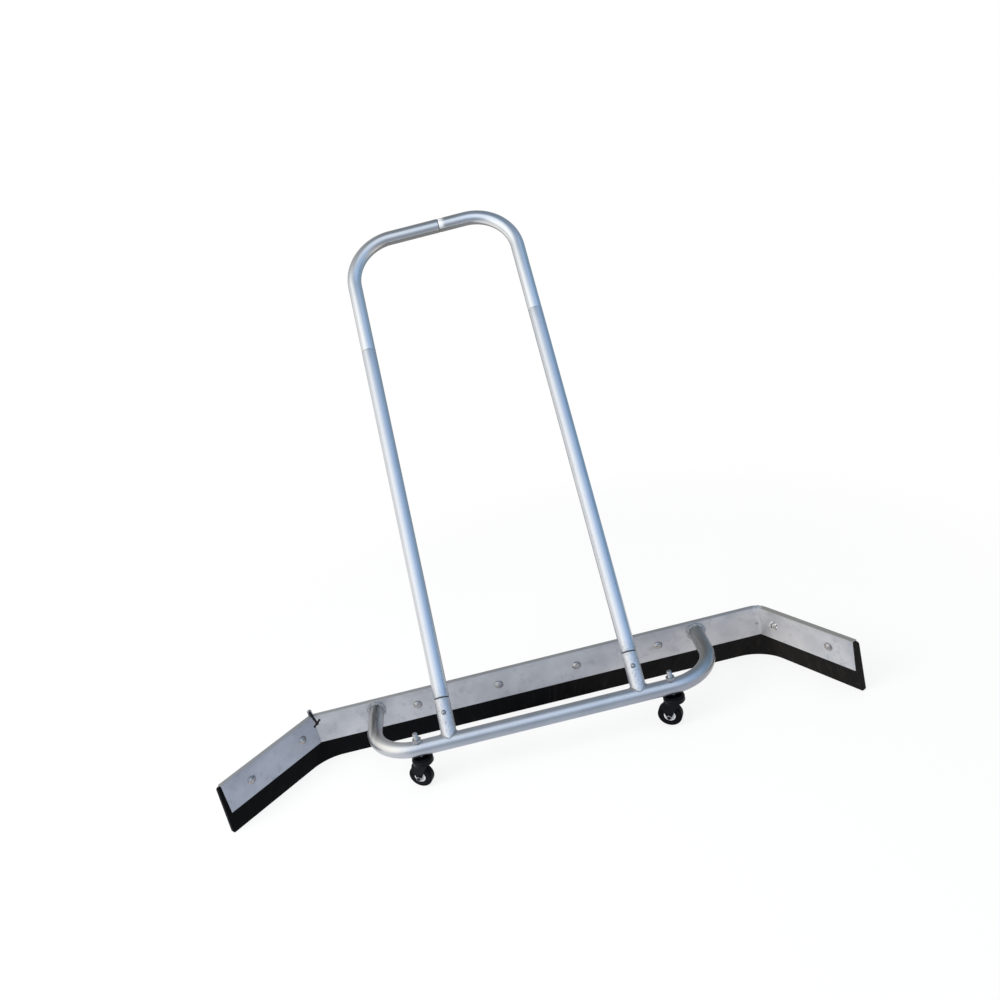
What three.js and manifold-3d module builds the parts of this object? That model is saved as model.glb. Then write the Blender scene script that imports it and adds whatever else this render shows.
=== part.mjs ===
// Tennis court squeegee: an angled aluminium blade with one rubber strip, a U-shaped base tube
// on two swivel casters, and a dismountable arch handle that leans back over the blade.
//
// Millimetres, +Z up. The origin is on the ground under the middle of the rubber strip.
// +X runs along the blade, -Y points to the side that the base tube and the wings reach to,
// and the operator stands on the +Y side.
import * as THREE from "three";
import { mergeVertices } from "three/addons/utils/BufferGeometryUtils.js";
import Module from "manifold-3d";

const wasm = await Module();
wasm.setup();

// Fits and mesh fineness
const gap = 0.3; // between pieces that touch
const overrun = 3; // how far a cut runs past what it cuts
const tubeSides = 20;
const roundSides = 20;
const smallSides = 12;
const hexSides = 6;
const bendSteps = 7; // rings in a quarter bend of tube
const elbowSteps = 8; // stations where the rubber turns an elbow

// Blade
const centreLength = 998; // centre section, elbow to elbow, along the blade's middle line
const wingLength = 244.5; // elbow to channel tip, along the same line
const leftWingAngle = 45; // degrees that a wing turns forward
const rightWingAngle = 59;
const channelHeight = 68;
const channelWall = 2;
const rubberThickness = 8;
const rubberReach = 45; // rubber that shows below the channel
const rubberTipReach = 12.5; // rubber past each channel tip, at its free edge
const rubberTipTopReach = 7.5; // the same under the web, because the ends are cut on a slant
const rubberEdgeBend = 100; // bend radius of the free lower edge at an elbow
const rubberSlotBend = 4.4; // bend radius where the channel grips it
const elbowBeadHalf = 5; // weld bead on the back corner of an elbow
const elbowBeadThickness = 1.4;

// Bolts through the channel, measured from the blade's middle and from each elbow
const centreBoltInner = 87;
const centreBoltOuter = 269;
const wingBoltInner = 44;
const wingBoltOuter = 182;
const boltRise = 34; // above the channel's lower edge
const boltRadius = 3;
const boltHeadAcross = 10;
const boltHeadHeight = 4;
const boltFlangeRadius = 8;
const boltFlangeThickness = 1.3;
const boltNutAcross = 10;
const boltNutHeight = 5;
const boltTail = 2.5; // thread past the nut

// Blind rivet on the right elbow
const rivetRadius = 2;
const rivetHeadRadius = 4;
const rivetHeadHeight = 1.4;
const rivetRise = 28; // above the channel's lower edge
const rivetInset = 9; // from the elbow, on the centre section

// T-bar screw and its lug at the left elbow
const lugWidth = 10;
const lugThickness = 3;
const lugHeight = 11;
const lugAxisRise = 6; // screw's middle above the web
const lugSetback = 2.5; // lug's middle behind the elbow, along the screw
const screwHeading = 24; // degrees from straight forward, towards the blade's middle
const screwRadius = 2.6;
const screwLength = 50.5; // in front of the lug
const screwTail = 6.3; // behind the lug
const screwEyeRadius = 3.3;
const screwEyeLength = 6;
const screwNutAcross = 10;
const screwNutHeight = 4;
const screwBarRadius = 2.1;
const screwBarLength = 21;
const screwBarCapRadius = 2.5;
const screwBarCapLength = 2.5;
const screwBarTilt = 35; // degrees from level

// Base tube
const tubeRadius = 16;
const baseWall = 2.5;
const baseReach = 174; // channel face to the front bar's middle line
const baseHalfWidth = 357;
const baseBendRadius = 95;
const weldLeg = 4; // fillet size at the base tube's ends
const stubWeldSize = 1.6; // bead round a stub's foot

// Handle, measured along its own line from the front bar's middle line
const handleLean = 40; // degrees back from upright
const handleInset = 161; // from a base tube end's middle line in to a leg
const handleWall = 1;
const stubLength = 85;
const legLength = 803;
const archRise = 277; // leg joint to the top bar's middle line
const archStraight = 91; // straight half of the top bar, from the middle to a bend
const topJointOffset = 28; // the two upper bends meet right of the middle
const sleeveWall = 1.5;
const stubSleeveDepth = 52; // sleeve inside the stub
const stubSleeveReach = 45; // sleeve inside the leg
const legSleeveHalf = 45;
const topSleeveHalf = 22;

// Spring snap button in each stub
const buttonDrop = 29; // below the stub's upper end
const buttonRadius = 4;
const buttonProud = 4.2; // dome above the stub's surface
const buttonRound = 3; // height of the rounded top
const buttonFlangeRadius = 5.6;
const buttonFlangeThickness = 1.2;
const springWidth = 7;
const springThickness = 0.8;
const springArm = 16; // from the button's axis down to the spring's foot
const springBend = 9; // bend radius of the spring's two foot corners

// Casters
const casterInset = 96; // from a base tube end's middle line to its caster
const casterHeading = 156; // degrees that the wheels trail towards, from +X
const casterTrail = 13.5;
const stemRadius = 5;
const stemProud = 21; // stud above the base tube
const stemChamfer = 0.9; // at the stud's upper end
const stemHeadRadius = 8;
const stemHeadThickness = 2.5;
const topNutAcross = 17;
const topNutHeight = 7;
const lowerNutAcross = 17;
const lowerNutHeight = 2.4;
const raceRadius = 19;
const raceThickness = 2.2;
const crownRadius = 22;
const crownHeight = 10.6;
const crownTopThickness = 3;
const crownWall = 2.5;
const cheekThickness = 2.5;
const cheekFootRadius = 7.5;
const cheekTopHalf = 15; // half width of a cheek under the crown
const cheekCrownReach = 2; // how far a cheek runs up into the crown
const cheekFlareReach = 27.5; // furthest trailing point of a cheek, from the swivel's axis
const cheekFlareRise = 19; // the same point above the axle
const wheelRadius = 25;
const wheelCrownRoom = 16.5; // between the tyre and the underside of the crown
const tyreWidth = 18;
const hubRadius = 15;
const hubWidth = 19;
const hubDishRadius = 12;
const hubDishDepth = 2.5;
const hubBossRadius = 5.5;
const tyreRound = 3;
const wheelSideRoom = 0.8; // between the hub and a cheek
const axleRadius = 3;
const axleRoom = 0.25; // running clearance on the axle
const axleHeadRadius = 5.5;
const axleHeadHeight = 2.4;
const axleNutAcross = 10;
const axleNutHeight = 4;
const axleTail = 1.5;

// Sizes that several pieces share
const radians = THREE.MathUtils.degToRad;
const channelHalf = rubberThickness / 2 + gap + channelWall;
const channelInner = channelHalf - channelWall;
const channelTop = rubberReach + channelHeight;
const rubberTop = channelTop - channelWall - gap;
const barY = -channelHalf - baseReach;
const boltLevel = rubberReach + boltRise;
const legStart = stubLength + gap;
const legEnd = legStart + legLength;
const bendStart = legEnd + gap;
const archTop = bendStart + archRise;
const handleBore = tubeRadius - handleWall;
const sleeveRadius = handleBore - gap;
const sleeveBore = sleeveRadius - sleeveWall;
const handleHalfWidth = baseHalfWidth - handleInset;
const casterHalfSpacing = baseHalfWidth - casterInset;
const archBendRadius = handleHalfWidth - archStraight;
const crownTop = 2 * wheelRadius + wheelCrownRoom + crownTopThickness;
const raceTop = crownTop + gap + raceThickness;
const lowerNutTop = raceTop + gap + lowerNutHeight;
const casterTubeBottom = lowerNutTop + gap;
const baseHeight = casterTubeBottom + tubeRadius; // middle line above the ground
const cheekInner = hubWidth / 2 + wheelSideRoom;
const cheekOuter = cheekInner + cheekThickness;

// Materials
function metal(colour, roughness, metalness) {
  return new THREE.MeshStandardMaterial({
    color: colour,
    roughness,
    metalness,
  });
}
const channelAluminium = metal(0xa4a8b0, 0.45, 0.9);
const tubeAluminium = metal(0xc6d0dc, 0.32, 0.9);
const sleeveAluminium = metal(0xb4bac2, 0.5, 0.9);
const zincSteel = metal(0xc4c6c8, 0.35, 0.95);
const blackSteel = metal(0x18191b, 0.5, 0.6);
const springSteel = metal(0x8e9296, 0.35, 0.95);
const blackRubber = metal(0x15171a, 0.8, 0);
const wheelRubber = metal(0x101113, 0.7, 0);
const hubNylon = metal(0xd6d8da, 0.45, 0);

const model = new THREE.Group();

function addPiece(parent, name, geometry, material) {
  const mesh = new THREE.Mesh(geometry, material);
  mesh.name = name;
  parent.add(mesh);
  return mesh;
}

// Signed volume of a closed indexed mesh
function signedVolume(geometry) {
  const place = geometry.getAttribute("position");
  const index = geometry.index.array;
  const [a, b, c] = [new THREE.Vector3(), new THREE.Vector3(), new THREE.Vector3()];
  let sum = 0;
  for (let i = 0; i < index.length; i += 3) {
    a.fromBufferAttribute(place, index[i]);
    b.fromBufferAttribute(place, index[i + 1]);
    c.fromBufferAttribute(place, index[i + 2]);
    sum += a.dot(b.cross(c));
  }
  return sum;
}

// One closed skin: shared vertices merged, empty triangles dropped, faces turned outwards
function closed(geometry) {
  const bare = geometry.clone();
  for (const extra of ["normal", "uv"]) bare.deleteAttribute(extra);
  const merged = mergeVertices(bare);
  const kept = [];
  const index = merged.index.array;
  for (let i = 0; i < index.length; i += 3) {
    const [a, b, c] = [index[i], index[i + 1], index[i + 2]];
    if (a !== b && b !== c && a !== c) kept.push(a, b, c);
  }
  merged.setIndex(kept);
  if (signedVolume(merged) < 0) merged.setIndex(kept.reverse());
  merged.computeVertexNormals();
  return merged;
}

function toSolid(geometry) {
  const skin = closed(geometry);
  return new wasm.Manifold(
    new wasm.Mesh({
      numProp: 3,
      vertProperties: new Float32Array(skin.getAttribute("position").array),
      triVerts: new Uint32Array(skin.index.array),
    }),
  );
}

function toGeometry(solid) {
  const mesh = solid.getMesh();
  const geometry = new THREE.BufferGeometry();
  geometry.setAttribute(
    "position",
    new THREE.BufferAttribute(mesh.vertProperties, 3),
  );
  geometry.setIndex(new THREE.BufferAttribute(mesh.triVerts, 1));
  geometry.computeVertexNormals();
  return geometry;
}

// Join the first list of geometries and take the second list away
function shape(joined, removed = []) {
  let solid = toSolid(joined[0]);
  for (const more of joined.slice(1)) solid = solid.add(toSolid(more));
  for (const less of removed) solid = solid.subtract(toSolid(less));
  return toGeometry(solid);
}

// A ring or a turned piece about Z. The profile is a list of [radius, z] points.
function turned(profile, sides = roundSides) {
  const points = profile.map(([r, z]) => new THREE.Vector2(r, z));
  points.push(points[0].clone());
  return new THREE.LatheGeometry(points, sides).rotateX(Math.PI / 2);
}

// A solid rod about Z between two levels
function rod(radius, low, high, sides = smallSides) {
  return turned(
    [
      [0, low],
      [radius, low],
      [radius, high],
      [0, high],
    ],
    sides,
  );
}

// A straight tube about Z between two levels
function pipe(radius, bore, low, high, sides = tubeSides) {
  return turned(
    [
      [bore, low],
      [radius, low],
      [radius, high],
      [bore, high],
    ],
    sides,
  );
}

// A hexagonal prism about Z, with an optional bore
function hexPrism(across, low, high, bore = 0) {
  const outline = new THREE.Shape();
  const corner = across / 2 / Math.cos(Math.PI / hexSides);
  for (let i = 0; i < hexSides; i++) {
    const turn = (i / hexSides) * 2 * Math.PI;
    const point = [corner * Math.cos(turn), corner * Math.sin(turn)];
    if (i === 0) outline.moveTo(...point);
    else outline.lineTo(...point);
  }
  outline.closePath();
  if (bore > 0) {
    outline.holes.push(new THREE.Path().absarc(0, 0, bore, 0, 2 * Math.PI));
  }
  const prism = new THREE.ExtrudeGeometry(outline, {
    depth: high - low,
    bevelEnabled: false,
    curveSegments: smallSides / 2,
  });
  return prism.translate(0, 0, low);
}

// A path that steps from station to station, so that straight runs need no rings of their own
class StationCurve extends THREE.Curve {
  constructor(stations) {
    super();
    this.stations = stations;
  }
  at(t) {
    return this.stations[Math.round(t * (this.stations.length - 1))];
  }
  getPoint(t, target = new THREE.Vector3()) {
    return target.copy(this.at(t).point);
  }
  getPointAt(t, target) {
    return this.getPoint(t, target);
  }
  getTangent(t, target = new THREE.Vector3()) {
    return target.copy(this.at(t).tangent);
  }
  getTangentAt(t, target) {
    return this.getTangent(t, target);
  }
}

// Stations along straight runs whose corners are rounded to a radius
function roundedPath(corners, radius, steps) {
  const points = corners.map((corner) => new THREE.Vector3(...corner));
  const last = points.length - 1;
  const run = (i) => points[i + 1].clone().sub(points[i]).normalize();
  const stations = [{ point: points[0], tangent: run(0) }];
  for (let i = 1; i < last; i++) {
    const before = run(i - 1);
    const after = run(i);
    const turn = before.angleTo(after);
    const start = points[i]
      .clone()
      .addScaledVector(before, -radius * Math.tan(turn / 2));
    const side = after
      .clone()
      .addScaledVector(before, -after.dot(before))
      .normalize();
    const centre = start.clone().addScaledVector(side, radius);
    for (let k = 0; k <= steps; k++) {
      const angle = (turn * k) / steps;
      const point = centre
        .clone()
        .addScaledVector(side, -radius * Math.cos(angle))
        .addScaledVector(before, radius * Math.sin(angle));
      const tangent = before
        .clone()
        .multiplyScalar(Math.cos(angle))
        .addScaledVector(side, Math.sin(angle));
      stations.push({ point, tangent });
    }
  }
  stations.push({ point: points[last], tangent: run(last - 1) });
  return stations;
}

// A section carried along stations
function swept(section, stations, sides) {
  return new THREE.ExtrudeGeometry(section, {
    steps: stations.length - 1,
    extrudePath: new StationCurve(stations),
    curveSegments: sides,
  });
}

function tubeSection(radius, bore) {
  const section = new THREE.Shape().absarc(0, 0, radius, 0, 2 * Math.PI);
  section.holes.push(new THREE.Path().absarc(0, 0, bore, 0, 2 * Math.PI));
  return section;
}

// Upright block between two corners
function block(low, high) {
  const size = high.map((value, i) => value - low[i]);
  const middle = high.map((value, i) => (value + low[i]) / 2);
  return new THREE.BoxGeometry(...size).translate(...middle);
}

// A piece turned about Z now lies along -Y, with its +Z end pointing forward
const layForward = (geometry) => geometry.rotateX(Math.PI / 2);

// Blade channel: an inverted U whose two ends follow the mitre of their elbow.
// A slope says how far an end moves along the channel for each step towards the back.
function channelBar(start, end, startSlope, endSlope) {
  const foot = rubberReach;
  const outline = new THREE.Shape();
  const corners = [
    [-channelHalf, foot],
    [-channelInner, foot],
    [-channelInner, channelTop - channelWall],
    [channelInner, channelTop - channelWall],
    [channelInner, foot],
    [channelHalf, foot],
    [channelHalf, channelTop],
    [-channelHalf, channelTop],
  ];
  corners.forEach((corner, i) =>
    i ? outline.lineTo(...corner) : outline.moveTo(...corner),
  );
  outline.closePath();
  const bar = new THREE.ExtrudeGeometry(outline, {
    depth: end - start,
    bevelEnabled: false,
  });
  const place = bar.getAttribute("position");
  for (let i = 0; i < place.count; i++) {
    const across = place.getX(i);
    const atEnd = place.getZ(i) > (end - start) / 2;
    const slope = atEnd ? endSlope : startSlope;
    place.setZ(i, place.getZ(i) + start + across * slope);
  }
  const axes = new THREE.Matrix4().makeBasis(
    new THREE.Vector3(0, 1, 0),
    new THREE.Vector3(0, 0, 1),
    new THREE.Vector3(1, 0, 0),
  );
  return bar.applyMatrix4(axes);
}

const boltHole = (x) =>
  layForward(
    rod(boltRadius + gap, -channelHalf - overrun, channelHalf + overrun),
  ).translate(x, 0, boltLevel);

const leftSlope = Math.tan(radians(leftWingAngle) / 2);
const rightSlope = Math.tan(radians(rightWingAngle) / 2);
const seamHalf = (slope) => (gap / 2) * Math.hypot(1, slope);
const centreBolts = [
  -centreBoltOuter,
  -centreBoltInner,
  centreBoltInner,
  centreBoltOuter,
];
const wingBolts = [wingBoltInner, wingBoltOuter];

// Weld bead over an elbow's back corner, fused to the wing and lying on the centre section
function elbowBead(side, wingAngle) {
  const half = radians(wingAngle) / 2;
  const seat = (channelHalf + gap) / Math.cos(half);
  const crest = seat + elbowBeadThickness;
  const along = elbowBeadHalf * Math.cos(half);
  const fall = elbowBeadHalf * Math.sin(half);
  const outline = new THREE.Shape();
  outline.moveTo(-along, seat - fall);
  outline.lineTo(0, seat);
  outline.lineTo(along, seat - fall);
  outline.lineTo(0, crest);
  outline.closePath();
  const bead = new THREE.ExtrudeGeometry(outline, {
    depth: channelHeight,
    bevelEnabled: false,
  });
  return bead.rotateZ(side * half).translate(0, 0, rubberReach);
}

// The wing's own share of the bead sits on the wing, so it is fused there through a short root
function beadRoot(side) {
  const low = side > 0 ? gap * 2 : -elbowBeadHalf;
  const high = side > 0 ? elbowBeadHalf : -gap * 2;
  return block(
    [low, channelInner + gap, rubberReach],
    [high, channelHalf + gap * 2, channelTop],
  );
}

function makeChannels() {
  const half = centreLength / 2;
  const rivetHole = layForward(
    rod(rivetRadius + gap, channelInner - overrun, channelHalf + overrun),
  ).translate(half - rivetInset, 0, rubberReach + rivetRise);
  const centre = shape(
    [
      channelBar(
        -half + seamHalf(leftSlope),
        half - seamHalf(rightSlope),
        -leftSlope,
        rightSlope,
      ),
    ],
    [...centreBolts.map(boltHole), rivetHole],
  );
  addPiece(model, "centre_channel", centre, channelAluminium);

  const wings = [
    ["left", -1, leftWingAngle, leftSlope],
    ["right", 1, rightWingAngle, rightSlope],
  ];
  for (const [name, side, angle, slope] of wings) {
    const wing = new THREE.Group();
    wing.position.x = side * half;
    wing.rotation.z = -side * radians(angle);
    model.add(wing);
    const seam = seamHalf(slope);
    const bar =
      side < 0
        ? channelBar(-wingLength, -seam, 0, slope)
        : channelBar(seam, wingLength, -slope, 0);
    const channel = shape(
      [bar, beadRoot(side), elbowBead(side, angle)],
      wingBolts.map((x) => boltHole(side * x)),
    );
    addPiece(wing, name + "_wing_channel", channel, channelAluminium);
    wingBolts.forEach((x, i) =>
      addBolt(wing, name + "_wing_" + ["inner", "outer"][i], side * x),
    );
  }
  centreBolts.forEach((x, i) =>
    addBolt(
      model,
      "centre_" + ["far_left", "left", "right", "far_right"][i],
      x,
    ),
  );
}

// Flanged hexagon bolt from the front, with its nut at the back
function addBolt(parent, name, x) {
  const face = channelHalf + gap;
  const flangeTop = face + boltFlangeThickness;
  const nutEnd = face + boltNutHeight;
  const bolt = shape([
    rod(boltRadius, -nutEnd - boltTail, flangeTop),
    rod(boltFlangeRadius, face, flangeTop, roundSides),
    hexPrism(boltHeadAcross, face + gap, flangeTop + boltHeadHeight),
  ]);
  const nut = hexPrism(boltNutAcross, -nutEnd, -face, boltRadius + gap);
  for (const [kind, geometry] of [
    ["bolt", bolt],
    ["nut", closed(nut)],
  ]) {
    const piece = addPiece(parent, name + "_" + kind, geometry, zincSteel);
    piece.position.set(x, 0, boltLevel);
    piece.rotation.x = Math.PI / 2;
  }
}

// Blade strip in plan: tip, elbow, elbow, tip, with its corners rounded to a radius
function stripPath(radius, tipReach) {
  const half = centreLength / 2;
  const reach = wingLength + tipReach;
  const tip = (side, angle) => [
    side * (half + reach * Math.cos(radians(angle))),
    -reach * Math.sin(radians(angle)),
    0,
  ];
  return roundedPath(
    [tip(-1, leftWingAngle), [-half, 0, 0], [half, 0, 0], tip(1, rightWingAngle)],
    radius,
    elbowSteps,
  );
}

// The strip is gripped with tight corners in the channel and opens to a wide bend at its free edge
function makeRubber() {
  const levels = [0, rubberReach / 3, (rubberReach * 2) / 3, rubberReach, rubberTop];
  const bendAt = (level) => {
    const freeShare = Math.max(0, 1 - level / rubberReach);
    return rubberSlotBend + (rubberEdgeBend - rubberSlotBend) * freeShare;
  };
  const reachAt = (level) =>
    rubberTipReach + (rubberTipTopReach - rubberTipReach) * (level / rubberTop);
  const rows = levels.map((level) => stripPath(bendAt(level), reachAt(level)));
  const stationCount = rows[0].length;
  const ring = levels.length * 2;
  const places = [];
  for (let i = 0; i < stationCount; i++) {
    const front = [];
    const back = [];
    levels.forEach((level, j) => {
      const { point, tangent } = rows[j][i];
      const across = new THREE.Vector3(-tangent.y, tangent.x, 0);
      for (const [list, side] of [
        [front, -1],
        [back, 1],
      ]) {
        const corner = point
          .clone()
          .addScaledVector(across, (side * rubberThickness) / 2);
        list.push([corner.x, corner.y, level]);
      }
    });
    places.push(...front, ...back.reverse());
  }
  const index = [];
  const quad = (a, b, c, d) => index.push(a, b, c, a, c, d);
  for (let i = 0; i < stationCount - 1; i++) {
    for (let j = 0; j < ring; j++) {
      const next = (j + 1) % ring;
      quad(
        i * ring + j,
        i * ring + next,
        (i + 1) * ring + next,
        (i + 1) * ring + j,
      );
    }
  }
  const lastRing = (stationCount - 1) * ring;
  for (let j = 0; j < levels.length - 1; j++) {
    const opposite = ring - 1 - j;
    quad(j, opposite, opposite - 1, j + 1);
    quad(
      lastRing + j,
      lastRing + j + 1,
      lastRing + opposite - 1,
      lastRing + opposite,
    );
  }
  const strip = new THREE.BufferGeometry();
  strip.setAttribute(
    "position",
    new THREE.Float32BufferAttribute(places.flat(), 3),
  );
  strip.setIndex(index);
  const wingHole = (side, angle, x) =>
    boltHole(side * x)
      .rotateZ(-side * radians(angle))
      .translate((side * centreLength) / 2, 0, 0);
  const holes = [
    ...centreBolts.map(boltHole),
    ...wingBolts.map((x) => wingHole(-1, leftWingAngle, x)),
    ...wingBolts.map((x) => wingHole(1, rightWingAngle, x)),
  ];
  addPiece(model, "rubber_strip", shape([strip], holes), blackRubber);
}

function makeRivet() {
  const face = channelHalf + gap;
  const rivet = turned(
    [
      [0, channelInner + gap],
      [rivetRadius, channelInner + gap],
      [rivetRadius, face],
      [rivetHeadRadius, face],
      [rivetHeadRadius, face + rivetHeadHeight / 2],
      [rivetHeadRadius / 2, face + rivetHeadHeight],
      [0, face + rivetHeadHeight],
    ],
    smallSides,
  );
  const piece = addPiece(model, "right_elbow_rivet", closed(rivet), zincSteel);
  piece.position.set(
    centreLength / 2 - rivetInset,
    0,
    rubberReach + rivetRise,
  );
  piece.rotation.x = Math.PI / 2;
}

// The screw lies level over the web. Its group points +Z forward along the screw.
function makeScrew() {
  const heading = radians(screwHeading);
  const seat = new THREE.Group();
  seat.position.set(
    -centreLength / 2 - lugSetback * Math.sin(heading),
    lugSetback * Math.cos(heading),
    channelTop + gap + lugAxisRise,
  );
  seat.rotation.order = "ZXY";
  seat.rotation.set(Math.PI / 2, 0, heading);
  model.add(seat);

  const lugOutline = new THREE.Shape();
  const crown = lugHeight - lugAxisRise;
  lugOutline.moveTo(-lugWidth / 2, -lugAxisRise);
  lugOutline.lineTo(lugWidth / 2, -lugAxisRise);
  lugOutline.lineTo(lugWidth / 2, crown / 2);
  lugOutline.lineTo(lugWidth / 4, crown);
  lugOutline.lineTo(-lugWidth / 4, crown);
  lugOutline.lineTo(-lugWidth / 2, crown / 2);
  lugOutline.closePath();
  lugOutline.holes.push(
    new THREE.Path().absarc(0, 0, screwRadius + gap, 0, 2 * Math.PI),
  );
  const lug = new THREE.ExtrudeGeometry(lugOutline, {
    depth: lugThickness,
    bevelEnabled: false,
    curveSegments: smallSides / 2,
  }).translate(0, 0, -lugThickness / 2);
  addPiece(seat, "screw_lug", closed(lug), zincSteel);

  const eyeMiddle = lugThickness / 2 + screwLength;
  const screw = shape(
    [
      rod(screwRadius, -lugThickness / 2 - screwTail, eyeMiddle),
      rod(
        screwEyeRadius,
        eyeMiddle - screwEyeLength / 2,
        eyeMiddle + screwEyeLength / 2,
        roundSides,
      ),
    ],
    [
      rod(screwBarRadius + gap, -screwBarLength, screwBarLength)
        .rotateY(Math.PI / 2)
        .rotateZ(radians(screwBarTilt))
        .translate(0, 0, eyeMiddle),
    ],
  );
  addPiece(seat, "t_screw", screw, blackSteel);

  const barHalf = screwBarLength / 2;
  const bar = turned(
    [
      [0, -barHalf],
      [screwBarCapRadius, -barHalf],
      [screwBarCapRadius, -barHalf + screwBarCapLength],
      [screwBarRadius, -barHalf + screwBarCapLength],
      [screwBarRadius, barHalf - screwBarCapLength],
      [screwBarCapRadius, barHalf - screwBarCapLength],
      [screwBarCapRadius, barHalf],
      [0, barHalf],
    ],
    smallSides,
  )
    .rotateY(Math.PI / 2)
    .rotateZ(radians(screwBarTilt))
    .translate(0, 0, eyeMiddle);
  addPiece(seat, "t_bar", closed(bar), blackSteel);

  const nutFront = -lugThickness / 2 - gap;
  const nut = hexPrism(
    screwNutAcross,
    nutFront - screwNutHeight,
    nutFront,
    screwRadius + gap,
  );
  addPiece(seat, "t_screw_nut", closed(nut), zincSteel);
}

// U-shaped base tube, with a weld fillet fused round each end
function makeBaseTube() {
  const face = -channelHalf - gap;
  const ends = [
    [-baseHalfWidth, face, baseHeight],
    [-baseHalfWidth, barY, baseHeight],
    [baseHalfWidth, barY, baseHeight],
    [baseHalfWidth, face, baseHeight],
  ];
  const tube = swept(
    tubeSection(tubeRadius, tubeRadius - baseWall),
    roundedPath(ends, baseBendRadius, bendSteps),
    tubeSides / 2,
  );
  const bore = tubeRadius - baseWall;
  const fillet = () =>
    turned(
      [
        [bore + baseWall / 2, 0],
        [tubeRadius + weldLeg, 0],
        [tubeRadius + weldLeg / 2, weldLeg / 2],
        [tubeRadius - baseWall / 2, weldLeg],
      ],
      tubeSides,
    );
  const fillets = [-1, 1].map((side) =>
    layForward(fillet()).translate(side * baseHalfWidth, face, baseHeight),
  );
  const stemHoles = [-1, 1].map((side) =>
    rod(
      stemRadius + gap,
      baseHeight - tubeRadius - overrun,
      baseHeight + tubeRadius + overrun,
      roundSides,
    ).translate(side * casterHalfSpacing, barY, 0),
  );
  addPiece(
    model,
    "base_tube",
    shape([tube, ...fillets], stemHoles),
    tubeAluminium,
  );
}

// The handle's own frame: +Z runs up the legs and -Y faces forward
const handle = new THREE.Group();
handle.position.set(0, barY, baseHeight);
handle.rotation.x = -radians(handleLean);
model.add(handle);

// Stub socket: a short tube whose foot is cut to the base tube and ringed by its weld bead
function makeStub(name, side) {
  const clear = tubeRadius + gap;
  const crossBar = (radius) =>
    rod(radius, -clear * 2, clear * 2, tubeSides).rotateY(Math.PI / 2);
  const wall = toSolid(rod(tubeRadius, 0, stubLength, tubeSides));
  const collar = toSolid(
    rod(tubeRadius + stubWeldSize, 0, clear + stubWeldSize, tubeSides),
  ).intersect(toSolid(crossBar(clear + stubWeldSize)));
  const hole = layForward(
    rod(buttonRadius + gap, 0, tubeRadius + overrun),
  ).translate(0, 0, stubLength - buttonDrop);
  const bore = rod(handleBore, -overrun, stubLength + overrun, tubeSides);
  const stub = wall
    .add(collar)
    .subtract(toSolid(crossBar(clear)))
    .subtract(toSolid(bore))
    .subtract(toSolid(hole));
  const piece = addPiece(
    handle,
    name + "_stub",
    toGeometry(stub),
    tubeAluminium,
  );
  piece.position.x = side * handleHalfWidth;
}

// Snap button and the leaf spring behind it, inside the stub's sleeve
function makeSnapButton(name, side) {
  const level = stubLength - buttonDrop;
  const top = tubeRadius + buttonProud;
  const flangeTop = Math.sqrt(sleeveBore ** 2 - buttonFlangeRadius ** 2) - gap * 2;
  const flangeFoot = flangeTop - buttonFlangeThickness;
  const button = turned([
    [0, flangeFoot],
    [buttonFlangeRadius, flangeFoot],
    [buttonFlangeRadius, flangeTop],
    [buttonRadius, flangeTop],
    [buttonRadius, top - buttonRound],
    [buttonRadius * Math.cos(Math.PI / 6), top - buttonRound / 2],
    [buttonRadius / 2, top - buttonRound / 8],
    [0, top],
  ]);
  const piece = addPiece(
    handle,
    name + "_snap_button",
    closed(layForward(button)),
    zincSteel,
  );
  piece.position.set(side * handleHalfWidth, 0, level);

  const frontArm = -(flangeFoot - gap - springThickness / 2);
  const cornerRoom = Math.sqrt(sleeveBore ** 2 - (springWidth / 2) ** 2);
  const backArm = cornerRoom - gap - springThickness / 2;
  const section = new THREE.Shape();
  section.moveTo(-springThickness / 2, -springWidth / 2);
  section.lineTo(springThickness / 2, -springWidth / 2);
  section.lineTo(springThickness / 2, springWidth / 2);
  section.lineTo(-springThickness / 2, springWidth / 2);
  section.closePath();
  const path = roundedPath(
    [
      [0, frontArm, buttonFlangeRadius],
      [0, frontArm, -springArm],
      [0, backArm, -springArm],
      [0, backArm, buttonFlangeRadius],
    ],
    springBend,
    bendSteps,
  );
  const spring = addPiece(
    handle,
    name + "_button_spring",
    closed(swept(section, path, smallSides)),
    springSteel,
  );
  spring.position.copy(piece.position);
}

// Sleeve in the stub and the foot of the leg, with the button's hole
function makeStubSleeve(name, side) {
  const hole = layForward(
    rod(buttonRadius + gap, 0, tubeRadius + overrun),
  ).translate(0, 0, stubLength - buttonDrop);
  const sleeve = shape(
    [
      pipe(
        sleeveRadius,
        sleeveBore,
        stubLength - stubSleeveDepth,
        stubLength + stubSleeveReach,
      ),
    ],
    [hole],
  );
  const piece = addPiece(
    handle,
    name + "_stub_sleeve",
    sleeve,
    sleeveAluminium,
  );
  piece.position.x = side * handleHalfWidth;
}

function makeLeg(name, side) {
  const leg = pipe(tubeRadius, handleBore, legStart, legEnd);
  const sleeve = pipe(
    sleeveRadius,
    sleeveBore,
    legEnd + gap / 2 - legSleeveHalf,
    legEnd + gap / 2 + legSleeveHalf,
  );
  for (const [kind, geometry, material] of [
    ["_lower_leg", leg, tubeAluminium],
    ["_leg_sleeve", sleeve, sleeveAluminium],
  ]) {
    const piece = addPiece(handle, name + kind, closed(geometry), material);
    piece.position.x = side * handleHalfWidth;
  }
}

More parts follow.
